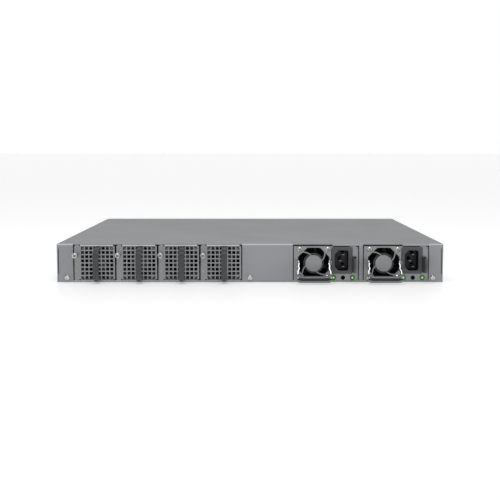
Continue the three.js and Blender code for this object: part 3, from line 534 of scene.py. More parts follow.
def curve_mesh(outlines: Iterable[Array], thickness: float, edge: float) -> Mesh:
    """A flat plate from closed outlines, filled by the even-odd rule, with rounded edges.

    Args:
        outlines: each an n by 2 array in metres; those inside another are holes in it.
        thickness: the plate's thickness in metres.
        edge: the radius of its edges in metres.

    Returns:
        A mesh in the XY plane, centred on z = 0.
    """
    flat = bpy.data.curves.new("plate", "CURVE")
    flat.dimensions = "2D"
    flat.fill_mode = "BOTH"
    flat.extrude = thickness / 2 - edge
    flat.bevel_depth = edge
    flat.bevel_resolution = 1
    flat.offset = -edge
    for outline in outlines:
        spline = flat.splines.new("POLY")
        spline.points.add(len(outline) - 1)
        flat_points = np.zeros((len(outline), 4))
        flat_points[:, :2] = outline
        flat_points[:, 3] = 1
        spline.points.foreach_set("co", flat_points.ravel())
        spline.use_cyclic_u = True
    carrier = bpy.data.objects.new("plate", flat)
    bpy.context.scene.collection.objects.link(carrier)
    graph = bpy.context.evaluated_depsgraph_get()
    mesh = bpy.data.meshes.new_from_object(carrier.evaluated_get(graph))
    bpy.data.objects.remove(carrier)
    bpy.data.curves.remove(flat)
    return mesh


class Plane(Enum):
    """The plane that a plate is drawn on: columns are where its u, v and thickness directions go."""

    FACE = ((1, 0, 0), (0, 0, 1), (0, -1, 0))
    SIDE = ((0, 1, 0), (0, 0, 1), (1, 0, 0))
    FLOOR = ((1, 0, 0), (0, 1, 0), (0, 0, 1))


def stamped(name: str, outlines: Iterable[Array], thickness: float, edge: float, plane: Plane,
            centre: Sequence[float]) -> Mesh:
    """A plate on one of the three planes.

    Args:
        name: the mesh's name.
        outlines: its outline and holes, in metres, in the plane's two directions.
        thickness: its thickness.
        edge: the radius of its edges.
        plane: which plane it lies on.
        centre: where the drawing's origin goes, at the middle of the thickness.

    Returns:
        The mesh, in place.
    """
    mesh = curve_mesh(outlines, thickness, edge)
    mesh.name = name
    count = len(mesh.vertices)
    points = np.empty(count * 3)
    mesh.vertices.foreach_get("co", points)
    points = points.reshape(-1, 3) @ np.array(plane.value, float) + np.array(centre)
    mesh.vertices.foreach_set("co", points.ravel())
    mesh.update()
    mesh.shade_smooth()
    mesh.set_sharp_from_angle(angle=math.radians(35))
    return mesh


def place_piece(name: str, mesh: Mesh, finish: Finish, body: str,
                instead_of: Sequence[str] = ()) -> Object:
    """Makes a mesh a piece of the switch.

    Args:
        name: the piece's name.
        mesh: its mesh, in place.
        finish: its finish.
        body: the CAD body that it moves with.
        instead_of: the CAD nodes that it stands for.

    Returns:
        The object.
    """
    made = bpy.data.objects.new(name, mesh)
    bpy.context.scene.collection.objects.link(made)
    mesh.materials.clear()
    mesh.materials.append(finish.material())
    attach(made, body)
    if instead_of:
        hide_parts(*instead_of)
    log.info("%s: %d faces", name, len(mesh.polygons))
    return made


def surface_piece(name: str, surface: tuple[Array, list], finish: Finish, body: str,
                  instead_of: Sequence[str] = ()) -> Object:
    """Makes points and faces a piece of the switch; the arguments are those of place_piece."""
    return place_piece(name, new_mesh(name, *surface), finish, body, instead_of)


def joined(*surfaces: tuple[Array, list]) -> tuple[Array, list]:
    """Several closed surfaces as one list of points and faces."""
    points, faces, start = [], [], 0
    for surface_points, surface_faces in surfaces:
        points.append(surface_points)
        faces += [[corner + start for corner in face] for face in surface_faces]
        start += len(surface_points)
    return np.concatenate(points), faces


def soft_block(size: Sequence[float], centre: Sequence[float], edge: float) -> tuple[Array, list]:
    """A block with rounded upright edges and chamfered ends, swept along Y; sizes in metres."""
    width, depth, height = size
    x, y, z = centre
    inset = np.array([edge, edge * 0.3, 0, 0, edge * 0.3, edge])
    along = np.array([0, edge * 0.3, edge, depth - edge, depth - edge * 0.3, depth]) - depth / 2
    full = soft_rectangle(width, height, edge * 1.2, 3)
    scale = np.stack([1 - 2 * inset / width, 1 - 2 * inset / height], axis=-1)
    section = full[None] * scale[:, None, :]
    path = np.stack([np.full(6, x), y + along, np.full(6, z)], axis=-1)
    return sweep(section, path, (0, 0, 1))


def dress_node(node: str, finish: Finish, edge: float = 0.0) -> None:
    """Gives a CAD node its finish, and rounds its sharp edges by live modifiers.

    Args:
        node: the node's name.
        finish: its finish.
        edge: the radius of its edges in metres; none if zero.
    """
    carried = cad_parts[node]
    carried.data.materials.clear()
    carried.data.materials.append(finish.material())
    if edge:
        weld = carried.modifiers.new("weld", "WELD")
        weld.merge_threshold = 0.002 * MM
        bevel = carried.modifiers.new("edges", "BEVEL")
        bevel.width = edge
        bevel.segments = 2
        bevel.limit_method = "ANGLE"
        bevel.angle_limit = math.radians(40)
        bevel.harden_normals = False
    log.info("%s keeps its CAD shape", node)


def folded_node(node: str, finish: Finish, radius: float, body: str) -> None:
    """Makes a piece from a merged copy of a CAD sheet, with the fold along its top front edge rounded.

    Args:
        node: the sheet's node.
        finish: its finish.
        radius: the fold's outer radius in metres.
        body: the body that it moves with.
    """
    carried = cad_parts[node]
    low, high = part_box(node)
    sheet = bmesh.new()
    sheet.from_mesh(carried.data)
    sheet.transform(carried.matrix_world)
    bmesh.ops.remove_doubles(sheet, verts=sheet.verts, dist=0.002 * MM)
    bmesh.ops.dissolve_limit(sheet, angle_limit=math.radians(0.5), verts=sheet.verts, edges=sheet.edges)
    near = 0.05 * MM
    fold = [edge for edge in sheet.edges if edge.calc_length() > 8 * MM
            and all(v.co.y < low.y + near and v.co.z > high.z - near for v in edge.verts)]
    bmesh.ops.bevel(sheet, geom=fold, offset=radius, segments=5, profile=0.5, affect="EDGES", clamp_overlap=True)
    mesh = bpy.data.meshes.new(node + "_folded")
    sheet.to_mesh(mesh)
    sheet.free()
    mesh.shade_smooth()
    mesh.set_sharp_from_angle(angle=math.radians(35))
    place_piece(node + "_folded", mesh, finish, body, [node])


def middle(node: str) -> Vector:
    """The centre of a CAD node's box."""
    low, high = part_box(node)
    return (low + high) / 2


# ---- Axial fan -----------------------------------------------------------------------------------


@dataclass
class AxialFan:
    """A 40 mm class fan: frame with a round duct, motor plate on struts, and a wheel of swept blades."""

    frame_node: str
    rotor_node: str
    frame_body: str
    rotor_body: str
    blades: int = 7
    bore: float = 18.1 * MM
    hub: float = 9.8 * MM
    tip: float = 17.4 * MM
    flange: float = 3.4 * MM
    screw_spacing: float = 32 * MM

    def __post_init__(self) -> None:
        """Reads the fan's place from the frame."""
        self.low, self.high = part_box(self.frame_node)
        self.centre = (self.low + self.high) / 2
        self.half = (self.high.x - self.low.x) / 2

    def flange_mesh(self, name: str, y: float) -> Mesh:
        """One of the two square flanges, bored round and with its four screw holes."""
        outline = soft_rectangle(2 * self.half, 2 * self.half, 3 * MM, 6)
        spot = self.screw_spacing / 2
        holes = [circle(u * spot, v * spot, 1.8 * MM, 16) for u in (-1, 1) for v in (-1, 1)]
        outlines = [outline, circle(0, 0, self.bore, 64), *holes]
        return stamped(name, outlines, self.flange, 0.3 * MM, Plane.FACE, (self.centre.x, y, self.centre.z))

    def duct(self) -> tuple[Array, list]:
        """The tube between the flanges: a ring section swept round the axis."""
        angle = np.linspace(0, 2 * np.pi, 64, endpoint=False)
        y0 = self.low.y + 1 * MM
        y1 = self.high.y - 1 * MM
        outer = self.half - 0.2 * MM
        radius = np.array([outer, outer, self.bore, self.bore])
        depth = np.array([y0, y1, y1, y0])
        points = np.stack([
            self.centre.x + radius[:, None] * np.cos(angle),
            depth[:, None] + 0 * angle,
            self.centre.z + radius[:, None] * np.sin(angle),
        ], axis=-1)
        return outward(points.reshape(-1, 3), grid_faces(4, 64, wrap_rows=True).tolist())

    def struts(self) -> tuple[Array, list]:
        """Four leaning struts from the motor plate to the duct."""
        arms = []
        for turn in range(4):
            angle = (turn + 0.28) * math.pi / 2
            reach = np.linspace(self.hub - 1 * MM, self.bore + 0.6 * MM, 8)
            lean = angle + 0.5 * (reach - reach[0]) / (reach[-1] - reach[0]) * 0.5
            path = np.stack([
                self.centre.x + reach * np.cos(lean),
                np.full(8, self.low.y + 1.3 * MM),
                self.centre.z + reach * np.sin(lean),
            ], axis=-1)
            arms.append(sweep(soft_rectangle(1.6 * MM, 2.2 * MM, 0.5 * MM, 3), path, (0, 1, 0)))
        return joined(*arms)

    def motor_plate(self) -> tuple[Array, list]:
        """The round plate that the struts carry, with a raised rim and a groove inside it."""
        rim = self.hub / MM + 0.6
        profile = [(0, 0.3), (rim - 2.4, 0.3), (rim - 2.1, 0.9), (rim - 1.3, 0.9), (rim - 1.1, 0.1), (rim - 0.3, 0),
                   (rim, 0.5), (rim, 2.4), (0, 2.4)]
        return revolve(profile, (self.centre.x, self.low.y, self.centre.z), 48)

    def blade(self, turn: float, y0: float, y1: float) -> tuple[Array, list]:
        """One blade: a thin cambered sheet that twists more steeply towards the tip.

        One blade: a slender cambered sheet that twists more steeply towards the tip.
        + camber * sin(pi s), and the depth runs from y1 to y0. Its two skins lie half a thickness to each side.
        """
        radial, chord = 8, 10
        r = np.linspace(self.hub - 0.3 * MM, self.tip, radial)[:, None]
        s = np.linspace(0, 1, chord)[None, :]
        share = (r - r[0]) / (r[-1] - r[0])
        span = (0.86 - 0.16 * share) * (1 + 0 * s)
        angle = turn + 0.18 * share + span * (s - 0.5) + 0.1 * np.sin(np.pi * s)
        depth = y1 + (y0 - y1) * (s ** 1.15) + 0 * r
        thick = 0.55 * MM * (0.35 + np.sin(np.pi * np.clip(s, 0.04, 0.96)))
        skins = []
        for sign in (1, -1):
            offset = sign * thick / (2 * r)
            skins.append(np.stack([
                self.centre.x + r * np.cos(angle + offset),
                depth + sign * 0.2 * thick,
                self.centre.z + r * np.sin(angle + offset),
            ], axis=-1))
        count = radial * chord
        points = np.concatenate([skins[0].reshape(-1, 3), skins[1].reshape(-1, 3)])
        top = grid_faces(radial, chord, wrap_columns=False)
        under = top[:, ::-1] + count
        index = np.arange(count).reshape(radial, chord)
        rim = np.concatenate([index[0, :-1], index[:-1, -1], index[-1, :0:-1], index[:0:-1, 0]])
        following = np.roll(rim, -1)
        edge = np.stack([rim, rim + count, following + count, following], axis=-1)
        return outward(points, [*top.tolist(), *under.tolist(), *edge.tolist()])

    def wheel(self) -> tuple[Array, list]:
        """The hub cup with its blades."""
        low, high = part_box(self.rotor_node)
        depth = (high.y - low.y) / MM
        rim = self.hub / MM
        profile = [
            (0, 0), (rim - 1.4, 0), (rim - 0.4, 0.4), (rim, 1.4), (rim, depth - 0.6), (rim - 0.6, depth), (0, depth),
        ]
        hub = revolve(profile, (self.centre.x, low.y, self.centre.z), 48)
        y0 = low.y + 1.6 * MM
        y1 = high.y - 1.6 * MM
        blades = [self.blade(turn, y0, y1) for turn in np.arange(self.blades) * 2 * np.pi / self.blades]
        return joined(hub, *blades)

    def build(self, prefix: str) -> None:
        """Makes the fan's pieces."""
        front = self.low.y + self.flange / 2
        back = self.high.y - self.flange / 2
        face = self.flange_mesh(prefix + "_front_flange", front)
        place_piece(prefix + "_front_flange", face, Finish.BLACK, self.frame_body, [self.frame_node])
        rear = self.flange_mesh(prefix + "_back_flange", back)
        place_piece(prefix + "_back_flange", rear, Finish.BLACK, self.frame_body)
        core = joined(self.duct(), self.struts())
        surface_piece(prefix + "_duct", core, Finish.BLACK, self.frame_body)
        surface_piece(prefix + "_motor", self.motor_plate(), Finish.BEZEL, self.frame_body)
        surface_piece(prefix + "_wheel", self.wheel(), Finish.WHEEL, self.rotor_body,
                      [self.rotor_node])


# ---- Fan module ----------------------------------------------------------------------------------


@dataclass
class FanModule:
    """A hot-swap fan: grille face with bent flanges, strap handle, captive screw, lamp and the fan itself."""

    number: int
    sheet: float = 1.2 * MM
    pitch_x: float = 4.75 * MM
    pitch_z: float = 4.8 * MM
    hole: float = 3.5 * MM
    holes: int = 8
    flange_left: float = 7.3 * MM
    flange_right: float = 44.8 * MM
    grille_x: float = 26.5 * MM
    grille_z: float = 22.2 * MM
    relief: float = 1.3 * MM
    seam: float = 0.55 * MM
    fan_screw_spot: float = 16 * MM

    def __post_init__(self) -> None:
        """Reads the module's place from the frame."""
        self.low, self.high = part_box(self.node("fan_tray"))
        self.screw = middle(self.node("fan_screw"))
        self.lamp = middle(self.node("fan_lamp"))
        self.body = f"fan_module_{self.number}"

    def node(self, kind: str) -> str:
        """The CAD node of a kind in this module."""
        return f"{kind}_{self.number}"

    def face_outline(self) -> Array:
        """The face's outline, with a notch at each end of the two bent flanges."""
        x0, z0, z1 = self.low.x + self.seam, self.low.z, self.high.z
        x1 = self.high.x - self.seam
        left, right = self.low.x + self.flange_left, self.low.x + self.flange_right
        gap = 1.6 * MM
        cut = self.relief
        return np.array([
            (x0, z0), (left - gap, z0), (left - gap, z0 + cut), (left, z0 + cut), (left, z0 + 0.9 * MM),
            (right, z0 + 0.9 * MM), (right, z0 + cut), (x1, z0 + cut),
            (x1, z1 - cut), (right, z1 - cut), (right, z1 - 0.9 * MM),
            (left, z1 - 0.9 * MM), (left, z1 - cut), (left - gap, z1 - cut), (left - gap, z1),
            (x0 + 1.2 * MM, z1), (x0 + 1.2 * MM, z1 - cut), (x0, z1 - cut),
        ])

    def hole_outline(self, column: int, row: int) -> Array:
        """One air hole, a square with soft corners; the grid's corner holes follow the field's round corner."""
        last = self.holes - 1
        u = self.low.x + self.grille_x + (column - last / 2) * self.pitch_x
        v = self.grille_z + (row - last / 2) * self.pitch_z
        outline = soft_rectangle(self.hole, self.hole, 0.16 * MM, 3)
        if column in (0, last) and row in (0, last):
            sign_u = -1 if column == 0 else 1
            sign_v = -1 if row == 0 else 1
            big = soft_rectangle(self.hole, self.hole, 1.5 * MM, 6)
            outer = (big[:, 0] * sign_u > 0) & (big[:, 1] * sign_v > 0)
            inner = ~((outline[:, 0] * sign_u > 0) & (outline[:, 1] * sign_v > 0))
            both = np.concatenate([big[outer], outline[inner]])
            outline = both[np.argsort(np.arctan2(both[:, 1], both[:, 0]))]
        return outline + np.array([u, v])

    def face(self) -> Mesh:
        """The face sheet with its 64 air holes and the holes for the screw and the lamp."""
        cells = [self.hole_outline(c, r) for r in range(self.holes) for c in range(self.holes)]
        round_holes = [
            circle(self.screw.x, self.screw.z, 1.7 * MM, 20),
            circle(self.lamp.x, self.lamp.z, 1.15 * MM, 16),
        ]
        centre = (0, self.low.y + self.sheet / 2, 0)
        return stamped("face", [self.face_outline(), *cells, *round_holes], self.sheet, 0.08 * MM, Plane.FACE, centre)

    def fan_screws(self) -> tuple[Array, list]:
        """The heads of the four screws that hold the fan, just behind the grille's corner holes."""
        profile = [(0, 1.1), (1.0, 1.1), (1.2, 0.3), (1.6, 0.15), (2.1, 0.4), (2.4, 1.0), (2.5, 1.5), (0, 1.5)]
        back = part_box(self.node("fan_frame"))[0].y - 1.5 * MM
        x = self.low.x + self.grille_x
        spot = self.fan_screw_spot
        return joined(*[revolve(profile, (x + u * spot, back, self.grille_z + v * spot), 24)
                        for u in (-1, 1) for v in (-1, 1)])

    def shell(self) -> tuple[Array, list]:
        """The bent sheet behind the face: top and bottom shelves, each with its bend, and the end wall.

        One closed section of the sheet's thickness, drawn on (y, z), swept across from flange to flange.
        """
        thick = 0.8 * MM
        bend = 1.0 * MM
        y0, y1 = self.low.y, self.low.y + 70 * MM
        z0, z1 = self.low.z, self.high.z
        quarter = np.linspace(0, np.pi / 2, 6)
        outer_top = np.stack([y0 + bend - bend * np.cos(quarter), z1 - bend + bend * np.sin(quarter)], axis=-1)
        outer_low = np.stack([y0 + bend - bend * np.sin(quarter), z0 + bend - bend * np.cos(quarter)], axis=-1)
        outline = np.concatenate([
            outer_top,
            [(y1, z1), (y1, z0)],
            outer_low,
            [(y0, z0 + 1.5 * MM), (y0 + thick, z0 + 1.5 * MM), (y0 + thick, z0 + thick), (y1 - thick, z0 + thick)],
            [(y1 - thick, z1 - thick), (y0 + thick, z1 - thick), (y0 + thick, z1 - 1.5 * MM), (y0, z1 - 1.5 * MM)],
        ])
        x = np.array([self.low.x + self.flange_left, self.low.x + self.flange_right])
        count = len(outline)
        points = np.concatenate([np.column_stack([np.full(count, value), outline]) for value in x])
        faces = grid_faces(2, count).tolist()
        faces.append(list(range(count)))
        faces.append(list(range(2 * count - 1, count - 1, -1)))
        return outward(points, faces)

    def handle(self) -> tuple[Array, list]:
        """The strap handle: a soft rectangular section carried round a C-shaped path."""
        low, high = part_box(self.node("fan_handle"))
        thick = 3.2 * MM
        face = self.low.y
        front = low.y + thick / 2
        top = high.z - thick / 2
        foot = low.z + 1.2 * MM + thick / 2
        knots = np.array([
            (face, top), (face - 6 * MM, top - 1.0 * MM), (front + 5.5 * MM, top - 2.4 * MM),
            (front + 1.6 * MM, top - 4.6 * MM), (front, top - 8.5 * MM), (front, top - 15 * MM),
            (front, foot + 14 * MM), (front, foot + 5.5 * MM), (front + 1.2 * MM, foot + 1.6 * MM),
            (front + 4.8 * MM, foot), (face - 6 * MM, foot), (face, foot),
        ])
        path = smooth_path(knots, 72)
        x = (low.x + high.x) / 2 + 0.4 * MM
        path3 = np.column_stack([np.full(len(path), x), path])
        section = soft_rectangle(thick, high.x - low.x, 0.8 * MM, 4)
        return sweep(section, path3, (1, 0, 0))

    def tongue(self) -> tuple[Array, list]:
        """The tapered lip under the strap's lower arm."""
        low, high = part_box(self.node("fan_handle"))
        x = (low.x + high.x) / 2
        width = (high.x - low.x) / 2
        depth = np.linspace(0, 1, 12)
        size = np.sqrt(np.clip(1 - (1.9 * np.abs(depth - 0.5)) ** 3, 0.02, 1))
        path = np.stack([np.full(12, x), low.y + 4 * MM + 12 * MM * depth, np.full(12, low.z + 1.6 * MM)], axis=-1)
        section = soft_rectangle(2 * width * 0.8, 3.0 * MM, 1.4 * MM, 4)[None] * size[:, None, None]
        return sweep(section, path, (0, 0, 1))

    def captive_screw(self) -> tuple[Array, list]:
        """The thumbscrew: a knurled knob with a dished face, its neck and its ferrule."""
        length = (self.low.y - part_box(self.node("fan_screw"))[0].y) / MM
        profile = [
            (0, -length + 0.6), (1.55, -length + 0.5), (1.7, -length + 0.05), (1.9, -length), (3.0, -length + 0.9),
            (3.15, -length + 1.2), (3.15, -11.2), (3.0, -10.6), (2.3, -10.3), (1.7, -10.2), (1.6, -9.8), (1.6, -3.2),
            (1.7, -2.9), (2.0, -2.7), (2.0, -0.5), (1.9, -0.25), (1.4, -0.25), (1.4, 9.2), (0, 9.2),
        ]

        def knurl(angle: Array, y: Array) -> Array:
            """Fine teeth round the knob only."""
            on_knob = (y < -10.9) & (y > -length + 0.5)
            return 1 + np.where(on_knob, 0.022 * np.cos(24 * angle), 0)

        return revolve(profile, (self.screw.x, self.low.y, self.screw.z), 96, knurl)

    def knob_recess_shade(self) -> tuple[Array, list]:
        """The floor of the thumbscrew's recess, in a darker and rougher steel: painted shade in the recess."""
        face = (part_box(self.node("fan_screw"))[0].y - self.low.y) / MM
        profile = [(0, face + 0.45), (1.4, face + 0.3), (1.6, face + 0.2), (1.6, face + 0.9), (0, face + 0.9)]
        return revolve(profile, (self.screw.x, self.low.y, self.screw.z), 24)

    def lamp_dome(self) -> tuple[Array, list]:
        """The lamp's little dome."""
        profile = [(0, -0.8), (0.45, -0.77), (0.8, -0.65), (1.05, -0.42), (1.2, -0.1), (1.2, 5), (0, 5)]
        return revolve(profile, (self.lamp.x - 0.3 * MM, self.low.y, self.lamp.z), 24)

    def build(self) -> None:
        """Makes the module's pieces."""
        n = self.number
        tray = self.node("fan_tray")
        place_piece(f"fan_face_{n}", self.face(), Finish.PAINT, self.body, [tray])
        surface_piece(f"fan_shell_{n}", self.shell(), Finish.PAINT, self.body)
        strap = joined(self.handle(), self.tongue())
        surface_piece(f"fan_strap_{n}", strap, Finish.HANDLE, self.body, [self.node("fan_handle")])
        surface_piece(f"fan_screw_heads_{n}", self.fan_screws(), Finish.STRIP, self.body)
        knob = f"fan_knob_{n}"
        surface_piece(f"fan_thumbscrew_{n}", self.captive_screw(), Finish.NICKEL, knob,
                      [self.node("fan_screw")])
        # The darker floor of the thumbscrew's recess is painted shade.
        surface_piece(f"knob_recess_shade_{n}", self.knob_recess_shade(), Finish.STRIP, knob)
        surface_piece(f"fan_light_{n}", self.lamp_dome(), Finish.FAN_GREEN, self.body,
                      [self.node("fan_lamp")])
        fan = AxialFan(self.node("fan_frame"), self.node("fan_rotor"), self.body, f"fan_wheel_{n}")
        fan.build(f"module_fan_{n}")


def smooth_path(knots: Array, count: int) -> Array:
    """A smooth line through a few knots, by cubic segments whose tangents join neighbours.

    Args:
        knots: n by d places.
        count: how many points the line gets.

    Returns:
        count by d places, evenly spaced in length.
    """
    gaps = np.linalg.norm(np.diff(knots, axis=0), axis=1)
    at = np.concatenate([[0], np.cumsum(gaps)])
    slope = np.gradient(knots, at, axis=0)
    t = np.linspace(0, at[-1], count * 4)
    i = np.clip(np.searchsorted(at, t, side="right") - 1, 0, len(at) - 2)
    h = (at[i + 1] - at[i])[:, None]
    u = ((t - at[i])[:, None]) / h
    a, b = knots[i], knots[i + 1]
    line = (
        (2 * u ** 3 - 3 * u ** 2 + 1) * a + (u ** 3 - 2 * u ** 2 + u) * h * slope[i]
        + (3 * u ** 2 - 2 * u ** 3) * b + (u ** 3 - u ** 2) * h * slope[i + 1]
    )
    run = np.concatenate([[0], np.cumsum(np.linalg.norm(np.diff(line, axis=0), axis=1))])
    even = np.linspace(0, run[-1], count)
    return np.stack([np.interp(even, run, line[:, k]) for k in range(knots.shape[1])], axis=-1)


# ---- Power supply --------------------------------------------------------------------------------


@dataclass
class PowerSupply:
    """A power supply that plugs in: case, fan guard, fan, inlet with pins, bail, latch, lamps and screws."""

    number: int
    guard_flat: float = 18.0 * MM
    guard_chamfer: float = 10.6 * MM
    hub: float = 9.5 * MM
    fan_hub: float = 11.1 * MM
    spoke: float = 1.25 * MM
    sheet: float = 0.8 * MM
    screw_spot: float = 16 * MM
    plain_hole: tuple[float, float] = (56.35 * MM, 5.35 * MM)
    pin_spots: tuple[tuple[float, float, float], ...] = ((2.4, 6.35, 4), (2.4, -7.65, 4), (-1.2, -0.65, 3))
    dimple_spots: tuple[tuple[float, float], ...] = ((1.4, 26.7), (1.4, 17.0), (71.7, 39.0), (71.7, 3.5))

    def __post_init__(self) -> None:
        """Reads the supply's place from the frame."""
        self.low, self.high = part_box(self.node("psu_case"))
        self.fan = middle(self.node("psu_fan_frame"))
        self.body = f"power_supply_{self.number}"

    def node(self, kind: str) -> str:
        """The CAD node of a kind in this supply."""
        return f"{kind}_{self.number}"

    def guard_window(self, quarter: int) -> Array:
        """One of the guard's four windows, between two swept spokes, the hub disc and the eight-sided edge.

        A spoke's middle line is a quadratic curve from the hub to the frame's corner; the window's sides lie half
        a spoke's width from it. The window runs up one spoke, along the edge, down the next and back by the hub.
        """
        start, bend, end = np.array([(8.4, 2.6), (13.4, 5.6), (12.9, 15.5)]) * MM
        t = np.linspace(0, 1, 60)[:, None]
        line = (1 - t) ** 2 * start + 2 * t * (1 - t) * bend + t ** 2 * end
        step = np.gradient(line, axis=0)
        normal = np.stack([-step[:, 1], step[:, 0]], axis=-1)
        normal /= np.linalg.norm(normal, axis=1, keepdims=True)
        reach = 2 * self.guard_flat - self.guard_chamfer
        sides = []
        for sign in (1, -1):
            side = line + sign * self.spoke / 2 * normal
            outside_hub = np.linalg.norm(side, axis=1) > self.hub
            inside_edge = (side.sum(axis=1) < reach) & (side[:, 1] < self.guard_flat)
            sides.append(side[outside_hub & inside_edge])
        turn = np.array([(0, 1), (-1, 0)])
        up = sides[0]
        down = (sides[1] @ turn)[::-1]
        inner = self.guard_flat - self.guard_chamfer
        edge = np.array([(inner, self.guard_flat), (-inner, self.guard_flat)])
        a0 = math.atan2(down[-1, 1], down[-1, 0])
        a1 = math.atan2(up[0, 1], up[0, 0])
        arc = np.linspace(a0, a1, 18)[1:-1]
        hub = self.hub * np.stack([np.cos(arc), np.sin(arc)], axis=-1)
        outline = np.concatenate([up, edge, down, hub])
        return outline @ np.linalg.matrix_power(turn, quarter)

    def guard(self) -> Mesh:
        """The stamped guard: a frame and four windows."""
        frame_outline = soft_rectangle(40 * MM, 39 * MM, 1.6 * MM, 6)
        windows = [self.guard_window(quarter) for quarter in range(4)]
        centre = (self.fan.x, self.low.y - self.sheet / 2, self.fan.z)
        return stamped("guard", [frame_outline, *windows], self.sheet, 0.2 * MM, Plane.FACE, centre)

    def ears(self) -> tuple[Array, list]:
        """The guard's two ears: round-ended plates beside the bail's pivots."""
        pivot_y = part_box(self.node("psu_guard"))[0].y + 2.4 * MM
        parts = []
        for side in (-1, 1):
            x = self.fan.x + side * 19.6 * MM
            outline_angle = np.linspace(-np.pi / 2, np.pi / 2, 12)
            nose = np.stack([pivot_y - 2.4 * MM * np.cos(outline_angle), 2.4 * MM * np.sin(outline_angle)], axis=-1)
            outline = np.concatenate([nose, [(self.low.y, 2.4 * MM), (self.low.y, -2.4 * MM)]])
            count = len(outline)
            skins = [np.column_stack([np.full(count, x + s * 0.45 * MM), outline[:, 0], 23 * MM + outline[:, 1]])
                     for s in (-1, 1)]
            faces = grid_faces(2, count).tolist()
            faces.append(list(range(count)))
            faces.append(list(range(2 * count - 1, count - 1, -1)))
            parts.append(outward(np.concatenate(skins), faces))
        return joined(*parts)

    def round_screw(self, x: float, z: float) -> tuple[Array, list]:
        """A round-headed screw with a driver recess, on the guard's face."""
        profile = [
            (0, -0.9), (1.3, -0.95), (1.5, -1.45), (1.7, -1.5), (2.95, -0.5), (3.1, -0.25), (3.1, 0), (0, 0),
        ]
        return revolve(profile, (x, self.low.y - self.sheet, z), 32)

    def screw_recess_shade(self, x: float, z: float) -> tuple[Array, list]:
        """The floor of a screw's recess, in a darker and rougher steel: painted shade in the recess."""
        return revolve([(0, -1.0), (1.15, -1.1), (1.4, -1.3), (1.4, -0.6), (0, -0.6)],
                       (x, self.low.y - self.sheet, z), 24)

    def inlet_middle(self) -> tuple[float, float]:
        """The middle of the inlet, across and up."""
        low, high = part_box(self.node("psu_inlet"))
        return (low.x + high.x) / 2, (low.z + high.z) / 2

    def bezel(self) -> Mesh:
        """The inlet's bezel with its socket's mouth."""
        low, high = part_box(self.node("psu_inlet"))
        width, height = high.x - low.x + 0.4 * MM, high.z - low.z
        outline = soft_rectangle(width, height, 1.0 * MM, 5) + np.array([0.6 * MM, 0])
        centre = ((low.x + high.x) / 2, self.low.y - 0.4 * MM, (low.z + high.z) / 2)
        return stamped("bezel", [outline, self.mouth()], 0.8 * MM, 0.22 * MM, Plane.FACE, centre)

    @staticmethod
    def mouth() -> Array:
        """The socket's outline: two corners cut off on the earth pin's side, two rounded."""
        wide, tall, chamfer = 7.85 * MM, 11.7 * MM, 4.6 * MM
        quarter = np.linspace(0, np.pi / 2, 6)
        r = 2.3 * MM
        lower = np.stack([wide - r + r * np.sin(quarter), -tall + r - r * np.cos(quarter)], axis=-1)
        upper = np.stack([wide - r + r * np.cos(quarter), tall - r + r * np.sin(quarter)], axis=-1)
        left = np.array([
            (-wide + chamfer, tall), (-wide, tall - chamfer), (-wide, -tall + chamfer), (-wide + chamfer, -tall),
        ])
        return np.concatenate([lower, upper, left])

    def socket(self) -> tuple[Array, list]:
        """The socket's walls and floor: the mouth's outline carried inwards, as a cup with a 1 mm wall."""
        x, z = self.inlet_middle()
        inner = self.mouth()
        outer = inner * np.array([(7.85 + 1.1) / 7.85, (11.7 + 1.1) / 11.7])
        y0 = self.low.y - 0.5 * MM
        y1 = self.low.y + 16 * MM
        rings = [(outer, y0), (outer, y1 + 1.2 * MM), (inner, y0), (inner, y1)]
        points = [np.column_stack([ring[:, 0] + x, np.full(len(ring), y), ring[:, 1] + z]) for ring, y in rings]
        count = len(inner)
        here = np.arange(count)
        following = (here + 1) % count

        def band(a: int, b: int) -> list:
            """Quads between two rings."""
            return np.stack([a * count + here, a * count + following, b * count + following, b * count + here],
                            axis=-1).tolist()

        faces = [*band(0, 1), *band(2, 0), *band(3, 2)]
        faces.append((count + here)[::-1].tolist())
        faces.append((3 * count + here).tolist())
        return outward(np.concatenate(points), faces)

    def pins(self) -> tuple[Array, list]:
        """The three flat pins, with rounded tips."""
        x, z = self.inlet_middle()
        parts = []
        for dx, dz, tip in self.pin_spots:
            length = (16.5 - tip) * MM
            centre = (x + dx * MM, self.low.y + tip * MM + length / 2, z + dz * MM)
            parts.append(soft_block((3.0 * MM, length, 1.35 * MM), centre, 0.3 * MM))
        return joined(*parts)

    def shade_fills(self) -> tuple[Array, list]:
        """Near-black pieces that paint shade: the dark line over the inlet with its corner and its side, the plain
        hole's dark inside, and a dark slot over each pin.
        """
        inlet_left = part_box(self.node("psu_inlet"))[0].x
        x, z = self.inlet_middle()
        face = self.low.y - 0.02 * MM
        thick, edge = 0.3 * MM, 0.05 * MM
        line = soft_block((19.5 * MM, thick, 0.8 * MM), (x - 0.2 * MM, face, 41.2 * MM), edge)
        corner = soft_block((2.2 * MM, thick, 1.0 * MM), (self.high.x - 1.1 * MM, face, 41.15 * MM), edge)
        side = soft_block((0.7 * MM, thick, 26 * MM), (inlet_left - 0.1 * MM, face, 25 * MM), edge)
        hole_shade = revolve([(0, -0.2), (2.2, -0.2), (2.45, 0), (2.45, 1), (0, 1)],
                       (self.low.x + self.plain_hole[0], self.low.y, self.plain_hole[1]), 32)
        slot, slot_depth, slot_rise = (3.2 * MM, 1 * MM, 1.9 * MM), 14 * MM, 2.4
        slot_shades = [soft_block(slot, (x + dx * MM, self.low.y + slot_depth, z + (dz + slot_rise) * MM), 0.2 * MM)
                 for dx, dz, _ in self.pin_spots]
        return joined(line, corner, side, hole_shade, *slot_shades)

